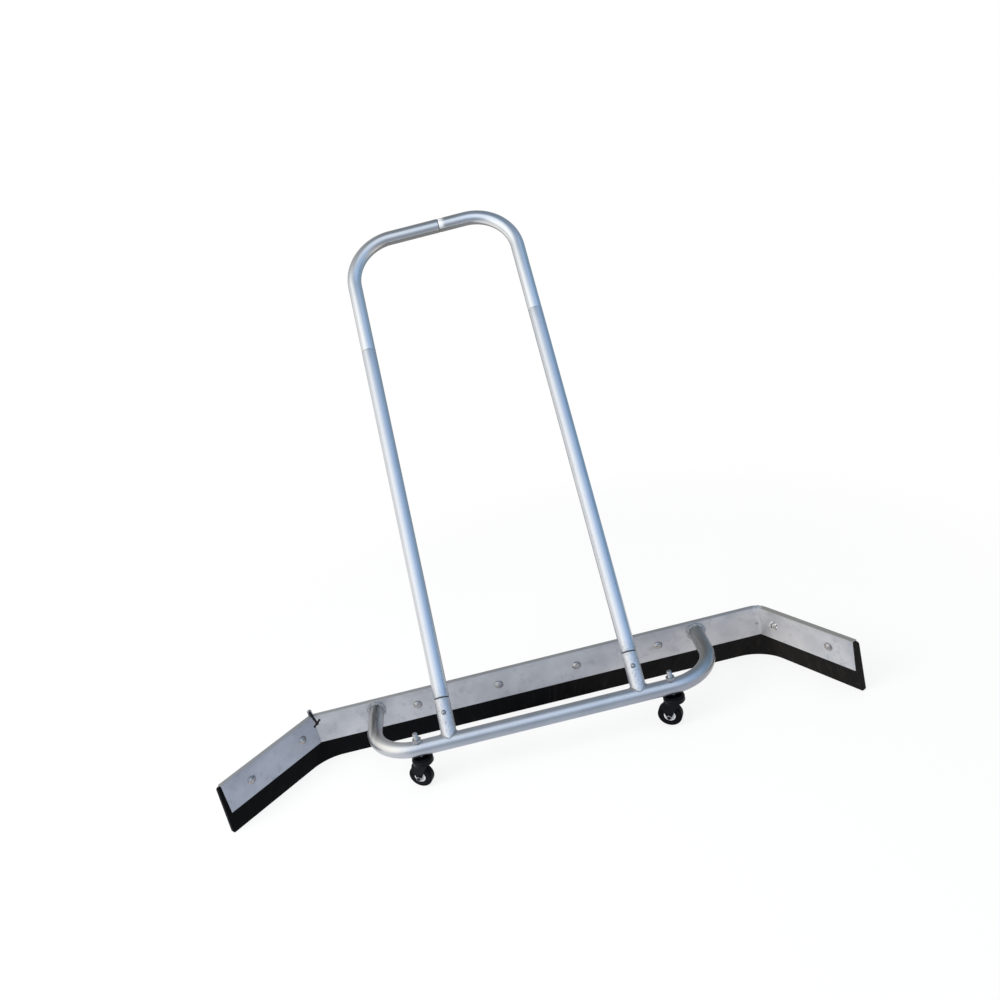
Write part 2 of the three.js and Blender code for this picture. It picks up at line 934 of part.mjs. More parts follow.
function makeUpperBend(name, side) {
  const meet = topJointOffset + (side * gap) / 2;
  const path = roundedPath(
    [
      [side * handleHalfWidth, 0, bendStart],
      [side * handleHalfWidth, 0, archTop],
      [meet, 0, archTop],
    ],
    archBendRadius,
    bendSteps,
  );
  const bend = swept(
    tubeSection(tubeRadius, handleBore),
    path,
    tubeSides / 2,
  );
  addPiece(handle, name + "_upper_bend", closed(bend), tubeAluminium);
}

function makeHandle() {
  const sides = [
    ["left", -1],
    ["right", 1],
  ];
  for (const [name, side] of sides) {
    makeStub(name, side);
    makeStubSleeve(name, side);
    makeSnapButton(name, side);
    makeLeg(name, side);
    makeUpperBend(name, side);
  }
  const topSleeve = pipe(
    sleeveRadius,
    sleeveBore,
    -topSleeveHalf,
    topSleeveHalf,
  ).rotateY(Math.PI / 2);
  const piece = addPiece(
    handle,
    "top_sleeve",
    closed(topSleeve),
    sleeveAluminium,
  );
  piece.position.set(topJointOffset, 0, archTop);
}

// Swivel caster. Its fixed pieces stand on the stem, and the fork's frame trails along +X.
function makeCaster(name, side) {
  const seat = new THREE.Group();
  seat.position.set(side * casterHalfSpacing, barY, 0);
  model.add(seat);
  const swivel = new THREE.Group();
  swivel.rotation.z = radians(casterHeading);
  seat.add(swivel);

  const headTop = crownTop - crownTopThickness - gap;
  const stemTop = baseHeight + tubeRadius + stemProud;
  const stem = turned(
    [
      [0, headTop - stemHeadThickness],
      [stemHeadRadius, headTop - stemHeadThickness],
      [stemHeadRadius, headTop],
      [stemRadius, headTop],
      [stemRadius, stemTop - stemChamfer],
      [stemRadius - stemChamfer, stemTop],
      [0, stemTop],
    ],
    roundSides,
  );
  addPiece(seat, name + "_caster_stem", closed(stem), zincSteel);

  const topNutFoot = baseHeight + tubeRadius + gap;
  const lowerNutFoot = lowerNutTop - lowerNutHeight;
  const nuts = [
    ["top", topNutAcross, topNutFoot, topNutFoot + topNutHeight, zincSteel],
    ["lower", lowerNutAcross, lowerNutFoot, lowerNutTop, blackSteel],
  ];
  for (const [kind, across, low, high, material] of nuts) {
    const nut = hexPrism(across, low, high, stemRadius + gap);
    addPiece(seat, `${name}_caster_${kind}_nut`, closed(nut), material);
  }
  const race = pipe(
    raceRadius,
    stemRadius + gap,
    raceTop - raceThickness,
    raceTop,
    roundSides,
  );
  addPiece(seat, name + "_race_plate", closed(race), blackSteel);

  addPiece(swivel, name + "_fork", makeFork(), blackSteel);
  for (const [kind, geometry, material] of [
    ["_axle", makeAxle(), zincSteel],
    ["_axle_nut", makeAxleNut(), zincSteel],
    ["_wheel", makeWheel(), hubNylon],
    ["_tyre", makeTyre(), wheelRubber],
  ]) {
    const piece = addPiece(swivel, name + kind, geometry, material);
    piece.position.set(casterTrail, 0, wheelRadius);
    piece.rotation.x = Math.PI / 2;
  }
}

// Fork: an inverted cup with two cheeks that run down to the axle
function makeFork() {
  const crownFoot = crownTop - crownHeight;
  const underTop = crownTop - crownTopThickness;
  const cup = turned(
    [
      [stemRadius + gap, underTop],
      [crownRadius - crownWall, underTop],
      [crownRadius - crownWall, crownFoot],
      [crownRadius, crownFoot],
      [crownRadius, crownTop - crownTopThickness / 2],
      [crownRadius - crownTopThickness / 2, crownTop],
      [stemRadius + gap, crownTop],
    ],
    roundSides,
  );
  const root = underTop + cheekCrownReach;
  const cheekOutline = new THREE.Shape();
  cheekOutline.moveTo(-cheekTopHalf, root);
  cheekOutline.lineTo(-cheekTopHalf, crownFoot);
  cheekOutline.lineTo(casterTrail - cheekFootRadius, wheelRadius);
  cheekOutline.absarc(
    casterTrail,
    wheelRadius,
    cheekFootRadius,
    Math.PI,
    2 * Math.PI,
  );
  cheekOutline.lineTo(cheekFlareReach, wheelRadius + cheekFlareRise);
  cheekOutline.lineTo(crownRadius, crownFoot);
  cheekOutline.lineTo(cheekTopHalf, crownFoot);
  cheekOutline.lineTo(cheekTopHalf, root);
  cheekOutline.closePath();
  const cheek = (low) =>
    new THREE.ExtrudeGeometry(cheekOutline, {
      depth: cheekThickness,
      bevelEnabled: false,
      curveSegments: smallSides / 2,
    })
      .rotateX(Math.PI / 2)
      .translate(0, low + cheekThickness, 0);
  const axleHole = layForward(
    rod(axleRadius + gap, -cheekOuter - overrun, cheekOuter + overrun),
  ).translate(casterTrail, 0, wheelRadius);
  return shape([cup, cheek(cheekInner), cheek(-cheekOuter)], [axleHole]);
}

function makeAxle() {
  const seat = cheekOuter + gap;
  const end = seat + axleNutHeight + axleTail;
  return closed(
    turned([
      [0, -end],
      [axleRadius, -end],
      [axleRadius, seat],
      [axleHeadRadius, seat],
      [axleHeadRadius, seat + axleHeadHeight / 2],
      [axleHeadRadius / 2, seat + axleHeadHeight],
      [0, seat + axleHeadHeight],
    ]),
  );
}

function makeAxleNut() {
  const seat = cheekOuter + gap;
  return closed(
    hexPrism(axleNutAcross, -seat - axleNutHeight, -seat, axleRadius + gap),
  );
}

// Hub with a dished face on each side
function makeWheel() {
  const half = hubWidth / 2;
  const bore = axleRadius + axleRoom;
  const dish = half - hubDishDepth;
  return closed(
    turned([
      [bore, -half],
      [hubBossRadius, -half],
      [hubBossRadius, -dish],
      [hubDishRadius, -dish],
      [hubDishRadius, -half],
      [hubRadius, -half],
      [hubRadius, half],
      [hubDishRadius, half],
      [hubDishRadius, dish],
      [hubBossRadius, dish],
      [hubBossRadius, half],
      [bore, half],
    ]),
  );
}

function makeTyre() {
  const half = tyreWidth / 2;
  return closed(
    turned(
      [
        [hubRadius + gap, -half],
        [wheelRadius - tyreRound, -half],
        [wheelRadius - tyreRound / 3, -half + tyreRound / 3],
        [wheelRadius, -half + tyreRound],
        [wheelRadius, half - tyreRound],
        [wheelRadius - tyreRound / 3, half - tyreRound / 3],
        [wheelRadius - tyreRound, half],
        [hubRadius + gap, half],
      ],
      tubeSides,
    ),
  );
}

makeChannels();
makeRubber();
makeRivet();
makeScrew();
makeBaseTube();
makeHandle();
makeCaster("left", -1);
makeCaster("right", 1);

export default model;
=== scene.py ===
# Tennis court squeegee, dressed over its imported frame. Metres, +Z up, base tube and casters at -Y.
import bmesh
import bpy
import numpy as np
from functools import reduce
from math import cos, hypot, pi, radians, sin, sqrt, tan
from mathutils import Matrix, Vector


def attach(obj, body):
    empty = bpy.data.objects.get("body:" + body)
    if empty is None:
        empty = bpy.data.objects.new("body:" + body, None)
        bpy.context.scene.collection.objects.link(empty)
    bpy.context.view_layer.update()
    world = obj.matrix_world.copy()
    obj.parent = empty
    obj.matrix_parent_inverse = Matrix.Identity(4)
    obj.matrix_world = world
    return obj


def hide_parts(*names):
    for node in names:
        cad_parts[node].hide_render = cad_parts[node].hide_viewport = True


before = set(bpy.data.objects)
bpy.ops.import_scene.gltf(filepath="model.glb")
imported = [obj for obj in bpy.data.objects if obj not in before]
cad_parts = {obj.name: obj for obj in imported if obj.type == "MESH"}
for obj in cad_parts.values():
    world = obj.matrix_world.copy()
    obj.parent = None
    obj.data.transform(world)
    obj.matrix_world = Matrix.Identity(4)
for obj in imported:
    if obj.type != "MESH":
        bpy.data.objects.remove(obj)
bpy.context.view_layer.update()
sides = {"left": -1, "right": 1}
root = "squeegee_frame"
mergeDistance = 2e-6
edgeStyle = {"sharpAngle": 34, "bevelAngle": 40, "bevelSteps": 2}
faceForward = Matrix.Rotation(pi / 2, 4, "X")  # turns a piece's own +Z to the front, along -Y
print("frame loaded:", len(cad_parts), "nodes")


# Mesh tools

def patch(points, closeRows=False, closeColumns=False, u=None, v=None):
    # A sheet of quads over a (rows, columns, 3) array, with a surface map in metres
    rows, columns = points.shape[:2]
    u = np.zeros(rows + 1) if u is None else np.asarray(u, float)
    v = np.zeros(columns + 1) if v is None else np.asarray(v, float)
    return {"points": points, "closeRows": closeRows, "closeColumns": closeColumns, "u": u, "v": v}


def quads(part):
    rows, columns = part["points"].shape[:2]
    i = np.arange(rows if part["closeRows"] else rows - 1)
    j = np.arange(columns if part["closeColumns"] else columns - 1)
    i, j = (a.ravel() for a in np.meshgrid(i, j, indexing="ij"))
    nextRow, nextColumn = (i + 1) % rows, (j + 1) % columns
    faces = np.stack([i * columns + j, nextRow * columns + j,
                      nextRow * columns + nextColumn, i * columns + nextColumn], -1)
    u, v = part["u"], part["v"]
    uv = np.stack([np.stack([u[i], v[j]], -1), np.stack([u[i + 1], v[j]], -1),
                   np.stack([u[i + 1], v[j + 1]], -1), np.stack([u[i], v[j + 1]], -1)], 1)
    return faces, uv


def solidMesh(name, patches, place=None):
    # Joins the patches into one mesh, merges seams and poles, and turns the faces outwards
    points, faces, uvs, first = [], [], [], 0
    for part in patches:
        partFaces, partUv = quads(part)
        points.append(part["points"].reshape(-1, 3))
        faces.append(partFaces + first)
        uvs.append(partUv)
        first += len(points[-1])
    points, faces, uvs = np.concatenate(points), np.concatenate(faces), np.concatenate(uvs)
    mesh = bpy.data.meshes.new(name)
    mesh.vertices.add(len(points))
    mesh.vertices.foreach_set("co", points.astype(np.float32).ravel())
    mesh.loops.add(faces.size)
    mesh.loops.foreach_set("vertex_index", faces.astype(np.int32).ravel())
    mesh.polygons.add(len(faces))
    mesh.polygons.foreach_set("loop_start", np.arange(0, faces.size, 4, dtype=np.int32))
    mesh.update(calc_edges=True)
    layer = mesh.uv_layers.new(name="surface")
    layer.data.foreach_set("uv", uvs.astype(np.float32).ravel())
    if place is not None:
        mesh.transform(place)
    work = bmesh.new()
    work.from_mesh(mesh)
    bmesh.ops.remove_doubles(work, verts=work.verts, dist=mergeDistance)
    bmesh.ops.recalc_face_normals(work, faces=work.faces)
    work.to_mesh(mesh)
    work.free()
    return mesh


def bored(mesh, hole):
    # The mesh with the hole's solid taken away
    solid, cutter = (bpy.data.objects.new(part.name, part) for part in (mesh, hole))
    for part in (solid, cutter):
        bpy.context.scene.collection.objects.link(part)
    cut = solid.modifiers.new("hole", "BOOLEAN")
    cut.operation, cut.solver, cut.object = "DIFFERENCE", "EXACT", cutter
    result = bpy.data.meshes.new_from_object(solid.evaluated_get(bpy.context.evaluated_depsgraph_get()))
    for part in (solid, cutter):
        bpy.data.objects.remove(part)
    return result


def makePiece(name, patches, finish, body, nodes=(), bevel=0, place=None, hole=None):
    # Sets the mesh in place, cuts its hole, shades or bevels its edges, hangs it on its body and hides the
    # CAD nodes it replaces
    mesh = solidMesh(name, patches, place)
    if hole:
        mesh = bored(mesh, hole)
    mesh.polygons.foreach_set("use_smooth", np.ones(len(mesh.polygons), bool))
    mesh.set_sharp_from_angle(angle=radians(edgeStyle["sharpAngle"]))
    mesh.materials.clear()
    mesh.materials.append(finishes[finish])
    piece = bpy.data.objects.new(name, mesh)
    bpy.context.scene.collection.objects.link(piece)
    if bevel:
        rounding = piece.modifiers.new("edges", "BEVEL")
        rounding.width, rounding.segments = bevel, edgeStyle["bevelSteps"]
        rounding.angle_limit = radians(edgeStyle["bevelAngle"])
        rounding.harden_normals = False
    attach(piece, body)
    for node in nodes:
        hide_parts(node)


def placing(origin, xAxis, yAxis, zAxis):
    turn = Matrix((Vector(xAxis), Vector(yAxis), Vector(zAxis))).transposed().to_4x4()
    return Matrix.Translation(Vector(origin)) @ turn


def ease(t):
    # Smooth step: 3t^2 - 2t^3 between 0 and 1
    t = np.clip(t, 0, 1)
    return t * t * (3 - 2 * t)


def turned(radii, heights, count, closeRows=False):
    # Circle of each row's radius at its height about Z; a radius may also change with the angle
    angle = np.linspace(0, 2 * pi, count, endpoint=False)
    radii = np.broadcast_to(np.asarray(radii, float).reshape(len(heights), -1), (len(heights), count))
    heights = np.asarray(heights, float)
    z = np.broadcast_to(heights.reshape(len(heights), -1), (len(heights), count))
    points = np.stack([radii * np.cos(angle), radii * np.sin(angle), z], -1)
    step = np.hypot(np.diff(radii[:, 0]), np.diff(z[:, 0]))
    u = np.concatenate([[0], np.cumsum(step)])
    u = np.append(u, u[-1])
    v = np.linspace(0, 2 * pi, count + 1) * radii.max()
    return patch(points, closeRows, True, u, v)


def turnedProfile(profile, count, closeRows=False):
    # The same from (radius, height) pairs, each a number or one value for every angle
    radii, heights = (np.stack([np.broadcast_to(np.asarray(value, float), count) for value in column])
                      for column in zip(*profile))
    return turned(radii, heights, count, closeRows)


def hexRadius(across, count):
    # Distance from the middle to a hexagon's flats: half across / cos(angle to the nearest flat)
    angle = np.linspace(0, 360, count, endpoint=False)
    return across / 2 / np.cos(np.radians((angle + 30) % 60 - 30))


def threadDepth(heights, count, pitch, depth):
    # Triangle wave that climbs one pitch a turn
    angle = np.linspace(0, 1, count, endpoint=False)
    phase = (np.asarray(heights)[:, None] / pitch - angle[None, :]) % 1
    return depth * np.abs(2 * phase - 1)


rodEndShare = 1.4  # thread depths that a rod's end is turned down by


def threadedRod(radius, low, high, pitch, depth, count, rowsPerTurn=8):
    # Rod whose radius loses the thread's depth, with a chamfer that grows from each end
    heights = np.linspace(low, high, int((high - low) / pitch * rowsPerTurn))
    radii = radius - threadDepth(heights, count, pitch, depth)
    chamfer = np.minimum(heights - low, high - heights)[:, None] + radius - rodEndShare * depth
    radii = np.minimum(radii, chamfer)
    radii = np.vstack([np.zeros(count), radii, np.zeros(count)])
    return turned(radii, np.concatenate([[low], heights, [high]]), count)


nutShape = {"heightShares": [0, 0.04, 0.09, 0.15, 0.22, 0.5, 0.78, 0.85, 0.91, 0.96, 1], "faceShare": 0.97,
            "coneAngle": 60, "sinkShare": 0.18, "fit": 0.0001}


def hexNut(across, low, high, rod, count=96):
    # Hexagon whose corners are cut by a cone at both ends, with a countersunk bore that clears the rod
    height = high - low
    share = np.array(nutShape["heightShares"])
    fromEnd = np.minimum(share, 1 - share) * height
    limit = across / 2 * nutShape["faceShare"] + fromEnd * tan(radians(nutShape["coneAngle"]))
    outer = np.minimum(hexRadius(across, count)[None, :], limit[:, None])
    bore = rod + nutShape["fit"]
    sink = bore * nutShape["sinkShare"]
    inside = [(bore + sink, high), (bore, high - sink), (bore, low + sink), (bore + sink, low)]
    return turnedProfile([*zip(outer, low + share * height), *inside], count, True)


def roundedPath(corners, radius, steps):
    # Straight runs whose corners are arcs: centre + radius * (side * -cos + along * sin)
    corners = np.asarray(corners, float)
    points, tangents = [corners[0]], []
    runs = np.diff(corners, axis=0)
    runs /= np.linalg.norm(runs, axis=1)[:, None]
    tangents.append(runs[0])
    for i in range(1, len(corners) - 1):
        before, after = runs[i - 1], runs[i]
        turn = np.arccos(np.clip(before @ after, -1, 1))
        start = corners[i] - before * radius * tan(turn / 2)
        side = after - before * (after @ before)
        side /= np.linalg.norm(side)
        angle = np.linspace(0, turn, steps + 1)[:, None]
        points.extend(start + radius * (side * (1 - np.cos(angle)) + before * np.sin(angle)))
        tangents.extend(before * np.cos(angle) + side * np.sin(angle))
    points.append(corners[-1])
    tangents.append(runs[-1])
    return np.array(points), np.array(tangents)


def ovalLip(outer, drop, length):
    # Quarter of an ellipse from the end's reduced radius out to the tube's own
    a = np.linspace(0, pi / 2, 8)
    return length * (1 - np.cos(a)), outer - drop + drop * np.sin(a)


def tubeWall(points, tangents, binormal, outer, inner, edge, count=56, foot=None):
    # Rings of a tube's wall: up the outside, round the lip, down the bore and round the other lip
    firstRow, firstRadius = ovalLip(outer, *(foot or (edge, edge)))
    lastRow, lastRadius = (a[::-1] for a in ovalLip(outer, edge, edge))
    along = np.concatenate([[0], np.cumsum(np.linalg.norm(np.diff(points, axis=0), axis=1))])
    whole = along[-1]
    row = np.concatenate([firstRow, along[1:-1], whole - lastRow, [whole], along[-2:0:-1], [0]])
    radius = np.concatenate([firstRadius, np.full(len(points) - 2, outer), lastRadius,
                             np.full(len(points), inner)])
    centre = np.stack([np.interp(row, along, points[:, k]) for k in range(3)], -1)
    direction = np.stack([np.interp(row, along, tangents[:, k]) for k in range(3)], -1)
    direction /= np.linalg.norm(direction, axis=1)[:, None]
    binormal = np.asarray(binormal, float)
    normal = np.cross(np.broadcast_to(binormal, direction.shape), direction)
    angle = np.linspace(0, 2 * pi, count, endpoint=False)
    ring = normal[:, None, :] * np.cos(angle)[None, :, None] + binormal * np.sin(angle)[None, :, None]
    grid = centre[:, None, :] + ring * radius[:, None, None]
    return patch(grid, True, True, np.append(row, row[0]), np.linspace(0, 2 * pi, count + 1) * outer)


def thickSheet(front, back, u=None, v=None):
    # Two like grids joined round their four edges make one closed wall
    rows, columns = front.shape[:2]
    u = np.arange(rows + 1.0) * 0 if u is None else np.append(u, u[-1])
    v = np.arange(columns + 1.0) * 0 if v is None else np.append(v, v[-1])
    rims = [np.stack([front[:, 0], back[:, 0]], 1), np.stack([front[:, -1], back[:, -1]], 1),
            np.stack([front[0], back[0]], 1), np.stack([front[-1], back[-1]], 1)]
    parts = [patch(front, u=u, v=v), patch(back, u=u, v=v)]
    parts += [patch(rim, u=u, v=[v[0]] * 3) for rim in rims[:2]]
    parts += [patch(rim, u=v, v=[u[0]] * 3) for rim in rims[2:]]
    return parts


# Shader tools

class Wire:
    # A node's output that can be used in sums; node() adds any other node to the same tree
    def __init__(self, tree, socket):
        self.tree, self.socket = tree, socket

    def node(self, kind, settings=None, sockets=None, output=0):
        made = self.tree.nodes.new(kind)
        for key, value in (settings or {}).items():
            if key == "stops":
                ramp = made.color_ramp
                while len(ramp.elements) < len(value):
                    ramp.elements.new(1)
                for element, (position, colour) in zip(ramp.elements, value):
                    element.position, element.color = position, (*colour, 1)
            else:
                setattr(made, key, value)
        for key, value in (sockets or {}).items():
            if isinstance(value, Wire):
                self.tree.links.new(value.socket, made.inputs[key])
            else:
                made.inputs[key].default_value = value
        return Wire(self.tree, made.outputs[output])

    def maths(self, operation, *values):
        return self.node("ShaderNodeMath", {"operation": operation}, dict(enumerate(values)))

    def __add__(self, other):
        return self.maths("ADD", self, other)

    def __sub__(self, other):
        return self.maths("SUBTRACT", self, other)

    def __rsub__(self, other):
        return self.maths("SUBTRACT", other, self)

    def __mul__(self, other):
        return self.maths("MULTIPLY", self, other)

    __radd__ = __add__
    __rmul__ = __mul__

    def highest(self, other):
        return self.maths("MAXIMUM", self, other)

    def output(self, name):
        # Another output of the same node
        return Wire(self.tree, self.socket.node.outputs[name])

    def axis(self, name):
        return self.node("ShaderNodeSeparateXYZ", {}, {0: self}, "XYZ".index(name))

    def between(self, low, high):
        # 0 below low, 1 above high, smooth between
        return self.node("ShaderNodeMapRange", {"interpolation_type": "SMOOTHSTEP"},
                         {"Value": self, "From Min": low, "From Max": high})

    def mix(self, first, second):
        # Colour mix with this wire as its factor
        socket = lambda c: c if isinstance(c, Wire) else (*c, 1)
        return self.node("ShaderNodeMix", {"data_type": "RGBA"},
                         {0: self, 6: socket(first), 7: socket(second)}, 2)

    def noise(self, scale, detail, rough):
        return self.node("ShaderNodeTexNoise", {}, {"Vector": self, "Scale": scale,
                                                    "Detail": detail, "Roughness": rough})

    def mottle(self, scale, detail, rough, low, high):
        # Noise that is 0 below one level and 1 above the other
        return self.noise(scale, detail, rough).between(low, high)

    def stretched(self, x, y, z):
        return self.node("ShaderNodeVectorMath", {"operation": "MULTIPLY"}, {0: self, 1: (x, y, z)})


def startMaterial(name):
    # A new material, its shader, and the place on the object that its textures read
    material = bpy.data.materials.new(name)
    material.use_nodes = True
    tree = material.node_tree
    where = tree.nodes.new("ShaderNodeTexCoord")
    return material, tree.nodes["Principled BSDF"], Wire(tree, where.outputs["Object"])


def connect(shader, colour, roughness, height, strength, distance, **others):
    # The height becomes a bump. The others are further sockets, such as Specular_IOR_Level
    bump = height.node("ShaderNodeBump", {}, {"Strength": strength, "Distance": distance, "Height": height})
    for key, value in {"Base_Color": colour, "Roughness": roughness, "Normal": bump, **others}.items():
        socket = shader.inputs[key.replace("_", " ")]
        if isinstance(value, Wire):
            value.tree.links.new(value.socket, socket)
        else:
            socket.default_value = value


# Finishes. A texture is its scale, detail and roughness, then the two levels between which it rises to 1.
# The smoothest is the roughness where the textures are 0.

# The web's top millimetre is painted darker as painted shade: webShadeShare is how far, webEdge where
channelFinish = {"dark": (0.58, 0.59, 0.62), "light": (0.88, 0.875, 0.88), "stain": (0.44, 0.45, 0.48),
                 "scratch": (0.93, 0.93, 0.94), "smoothest": 0.32, "metallic": 0.8,
                 "clouds": (9, 3, 0.6, 0.34, 0.68), "blotches": (46, 5, 0.62, 0.52, 0.74),
                 "specks": (420, 2, 0.5, 0.62, 0.72), "scratches": (1, 2, 0.5, 0.68, 0.74),
                 "lineStretch": (3, 900, 1), "scratchStretch": (14, 1500, 1), "cloudShare": 0.65,
                 "blotchShare": 0.42, "speckShare": 0.18, "scratchShare": 0.4, "webShadeShare": 0.85,
                 "webEdge": (0.1118, 0.1127)}
# Painted shadow of each bolt's head: its colour and share, its edge, and how far it sits right of and above
# the bolt
boltShadow = {"colour": (0.09, 0.09, 0.10), "share": 0.8, "edge": (0.0078, 0.0108), "aside": 0.0024,
         "rise": 0.0009, "patches": (260, 3, 0.6, 0.3, 0.6)}


def paintedBoltShadow(at, spots):
    # Painted shadow beside each bolt: its whole share near any of the spots, fading over its edge, and patchy
    away = [at.node("ShaderNodeVectorMath", {"operation": "DISTANCE"}, {0: at, 1: spot}, 1) for spot in spots]
    darkPatches = reduce(Wire.highest, [1 - reach.between(*boltShadow["edge"]) for reach in away])
    return darkPatches * (at.mottle(*boltShadow["patches"]) * 0.5 + 0.5) * boltShadow["share"]


def channelAluminium(name, tone, web, spots):
    # Mill finish: die lines along the section, cloudy oxide, blotches and a few long scratches. The web's top
    # is painted darker as painted shade, and a painted shadow lies beside each bolt.
    finish = channelFinish
    # The tone is painted light and shade: each section lighter or darker by the way it faces the light
    dark, light, stain = (tuple(c * t for c, t in zip(finish[key], tone))
                          for key in ("dark", "light", "stain"))
    material, shader, at = startMaterial(name)
    surface = at.output("UV")
    clouds, blotches, specks = (at.mottle(*finish[key]) for key in ("clouds", "blotches", "specks"))
    dieLines = surface.stretched(*finish["lineStretch"]).noise(1, 3, 0.6)
    scratches = surface.stretched(*finish["scratchStretch"]).mottle(*finish["scratches"])
    oxide = (clouds * finish["cloudShare"] + dieLines * (1 - finish["cloudShare"])).mix(dark, light)
    stained = (blotches * finish["blotchShare"] + specks * finish["speckShare"]).mix(oxide, stain)
    bright = (scratches * finish["scratchShare"]).mix(stained, finish["scratch"])
    # The top of the web is painted darker: painted shade
    bright = (at.axis("Z").between(*finish["webEdge"]) * finish["webShadeShare"]).mix(bright, web)
    # A painted shadow beside each bolt
    if spots:
        bright = paintedBoltShadow(at, spots).mix(bright, boltShadow["colour"])
    roughness = clouds * 0.1 + blotches * 0.08 + dieLines * 0.1 + finish["smoothest"]
    height = dieLines * 0.5 + clouds * 0.3 - scratches * 0.3
    connect(shader, bright, roughness, height, 0.22, 0.00025, Metallic=finish["metallic"])
    return material


tubeFinish = {"dark": (0.76, 0.785, 0.82), "light": (0.87, 0.885, 0.91), "dull": (0.56, 0.58, 0.61),
              "smoothest": 0.23}
bendFinish = {"dark": (0.84, 0.86, 0.87), "light": (0.96, 0.965, 0.97), "dull": (0.56, 0.58, 0.61),
              "smoothest": 0.15, "grip": (0.80, 0.76, 0.71), "wornHighlight": (0.97, 0.97, 0.99), "wornHighlightShare": 0.75}
baseFinish = {"dark": (0.66, 0.68, 0.71), "light": (0.82, 0.83, 0.85), "dull": (0.50, 0.51, 0.53),
              "smoothest": 0.26, "leftSmear": (0.15, 0.15, 0.155), "rightSmear": (0.36, 0.33, 0.30),
              "leftBendHighlight": (0.98, 0.96, 0.91), "rightBend": (0.57, 0.58, 0.56)}
sandedFinish = {"dark": (0.62, 0.63, 0.65), "light": (0.92, 0.92, 0.93), "dull": (0.36, 0.36, 0.39),
                "smoothest": 0.29, "metallic": 0.92}
# Weld drops: near white and barely metallic, painted glints
glintDropFinish = {**sandedFinish, "dark": (0.80, 0.79, 0.80), "light": (0.99, 0.98, 0.98), "metallic": 0.15}
# The sleeves are painted nearly black: painted shade in the gap at each joint
sleeveShadeFinish = {"dark": (0.05, 0.052, 0.056), "light": (0.12, 0.123, 0.13), "dull": (0.04, 0.04, 0.04),
                "smoothest": 0.43}

# Where the wear starts and is full, in metres, and how far it covers the metal
baseWear = {"arms": (-0.165, -0.095), "middle": (-0.1, 0.1), "leftBendHighlight": (-0.34, -0.24),
            "leftBendHighlightShare": 0.85, "rightBend": (0.27, 0.33), "rightBendShare": 0.6,
            "smearStretch": (90, 9, 90), "smears": (1, 4, 0.6, 0.36, 0.62)}
legWear = {"foot": (0.008, 0.026), "scuffs": (230, 5, 0.7, 0.42, 0.6)}
gripWear = {"level": (0.93, 0.965), "end": (0.05, 0.11), "jointStart": (0.026, 0.030),
            "jointEnd": (0.033, 0.046), "jointLevel": (0.976, 0.984)}


def smearBase(at, colour, finish, share):
    # The left bend is painted paler, a painted highlight on the side the light comes from; the right one is
    # duller, and smears cover the arms behind them
    across = at.axis("X")
    left = (1 - across.between(*baseWear["leftBendHighlight"])) * baseWear["leftBendHighlightShare"]
    right = across.between(*baseWear["rightBend"]) * baseWear["rightBendShare"]
    smears = at.stretched(*baseWear["smearStretch"]).mottle(*baseWear["smears"])
    smear = across.between(*baseWear["middle"]).mix(finish["leftSmear"], finish["rightSmear"])
    # Painted highlight on the left bend
    colour = right.mix(left.mix(colour, finish["leftBendHighlight"]), finish["rightBend"])
    return (at.axis("Y").between(*baseWear["arms"]) * (smears * 0.6 + 0.4) * share).mix(colour, smear)


def scuffLeg(at, colour, finish, share):
    # Scuffs at the foot of the leg, whose surface map counts metres from there
    foot = 1 - at.output("UV").axis("X").between(*legWear["foot"])
    return (foot * at.mottle(*legWear["scuffs"]) * share).mix(colour, finish["dull"])


def tubeAluminium(name, finish, grain, smeared=0, scuffed=0, handled=0):
    # Drawn tube: fine lines along its length, soft clouds and handling marks, and its own wear. Hands have
    # dulled the grip bar, and its joint is painted white and not metallic: rubbed wear with a painted
    # highlight.
    material, shader, at = startMaterial(name)
    metallic = finish.get("metallic", 1.0)
    clouds = at.mottle(14, 4, 0.6, 0.3, 0.7)
    drawing = at.output("UV").stretched(2.5, 1300, 1).noise(1, 3, 0.6)
    marks = at.mottle(130 + 60 * grain, 4, 0.7, 0.6 - 0.08 * grain, 0.72 - 0.06 * grain)
    pitting = at.noise(700, 3, 0.6)
    tone = (clouds * 0.5 + drawing * 0.5).mix(finish["dark"], finish["light"])
    colour = (marks * (0.25 + 0.3 * grain)).mix(tone, finish["dull"])
    if smeared:
        colour = smearBase(at, colour, finish, smeared)
    if scuffed:
        colour = scuffLeg(at, colour, finish, scuffed)
    if handled:
        across, height = at.axis("X"), at.axis("Z")
        grip = height.between(*gripWear["level"]) * (1 - across.between(*gripWear["end"]))
        colour = (grip * (marks * 0.3 + handled)).mix(colour, finish["grip"])
        # The joint's white patch: rubbed wear with a painted highlight
        joint = across.between(*gripWear["jointStart"]) * (1 - across.between(*gripWear["jointEnd"]))
        joint = joint * height.between(*gripWear["jointLevel"])
        wornHighlight = joint * (drawing.between(0.3, 0.6) * 0.4 + 0.6) * finish["wornHighlightShare"]
        colour = wornHighlight.mix(colour, finish["wornHighlight"])
        metallic = 1 - wornHighlight
    roughness = clouds * 0.06 + marks * 0.12 + drawing * 0.08 + finish["smoothest"]
    height = drawing * 0.4 + marks * -0.4 * grain + pitting * 0.8 * grain
    connect(shader, colour, roughness, height, 0.12 + 0.25 * grain, 0.0003, Metallic=metallic)
    return material


weldFinish = {"dark": (0.42, 0.42, 0.42), "light": (0.68, 0.67, 0.65), "soot": (0.22, 0.21, 0.20),
              "sootShare": 0.4, "smoothest": 0.42}


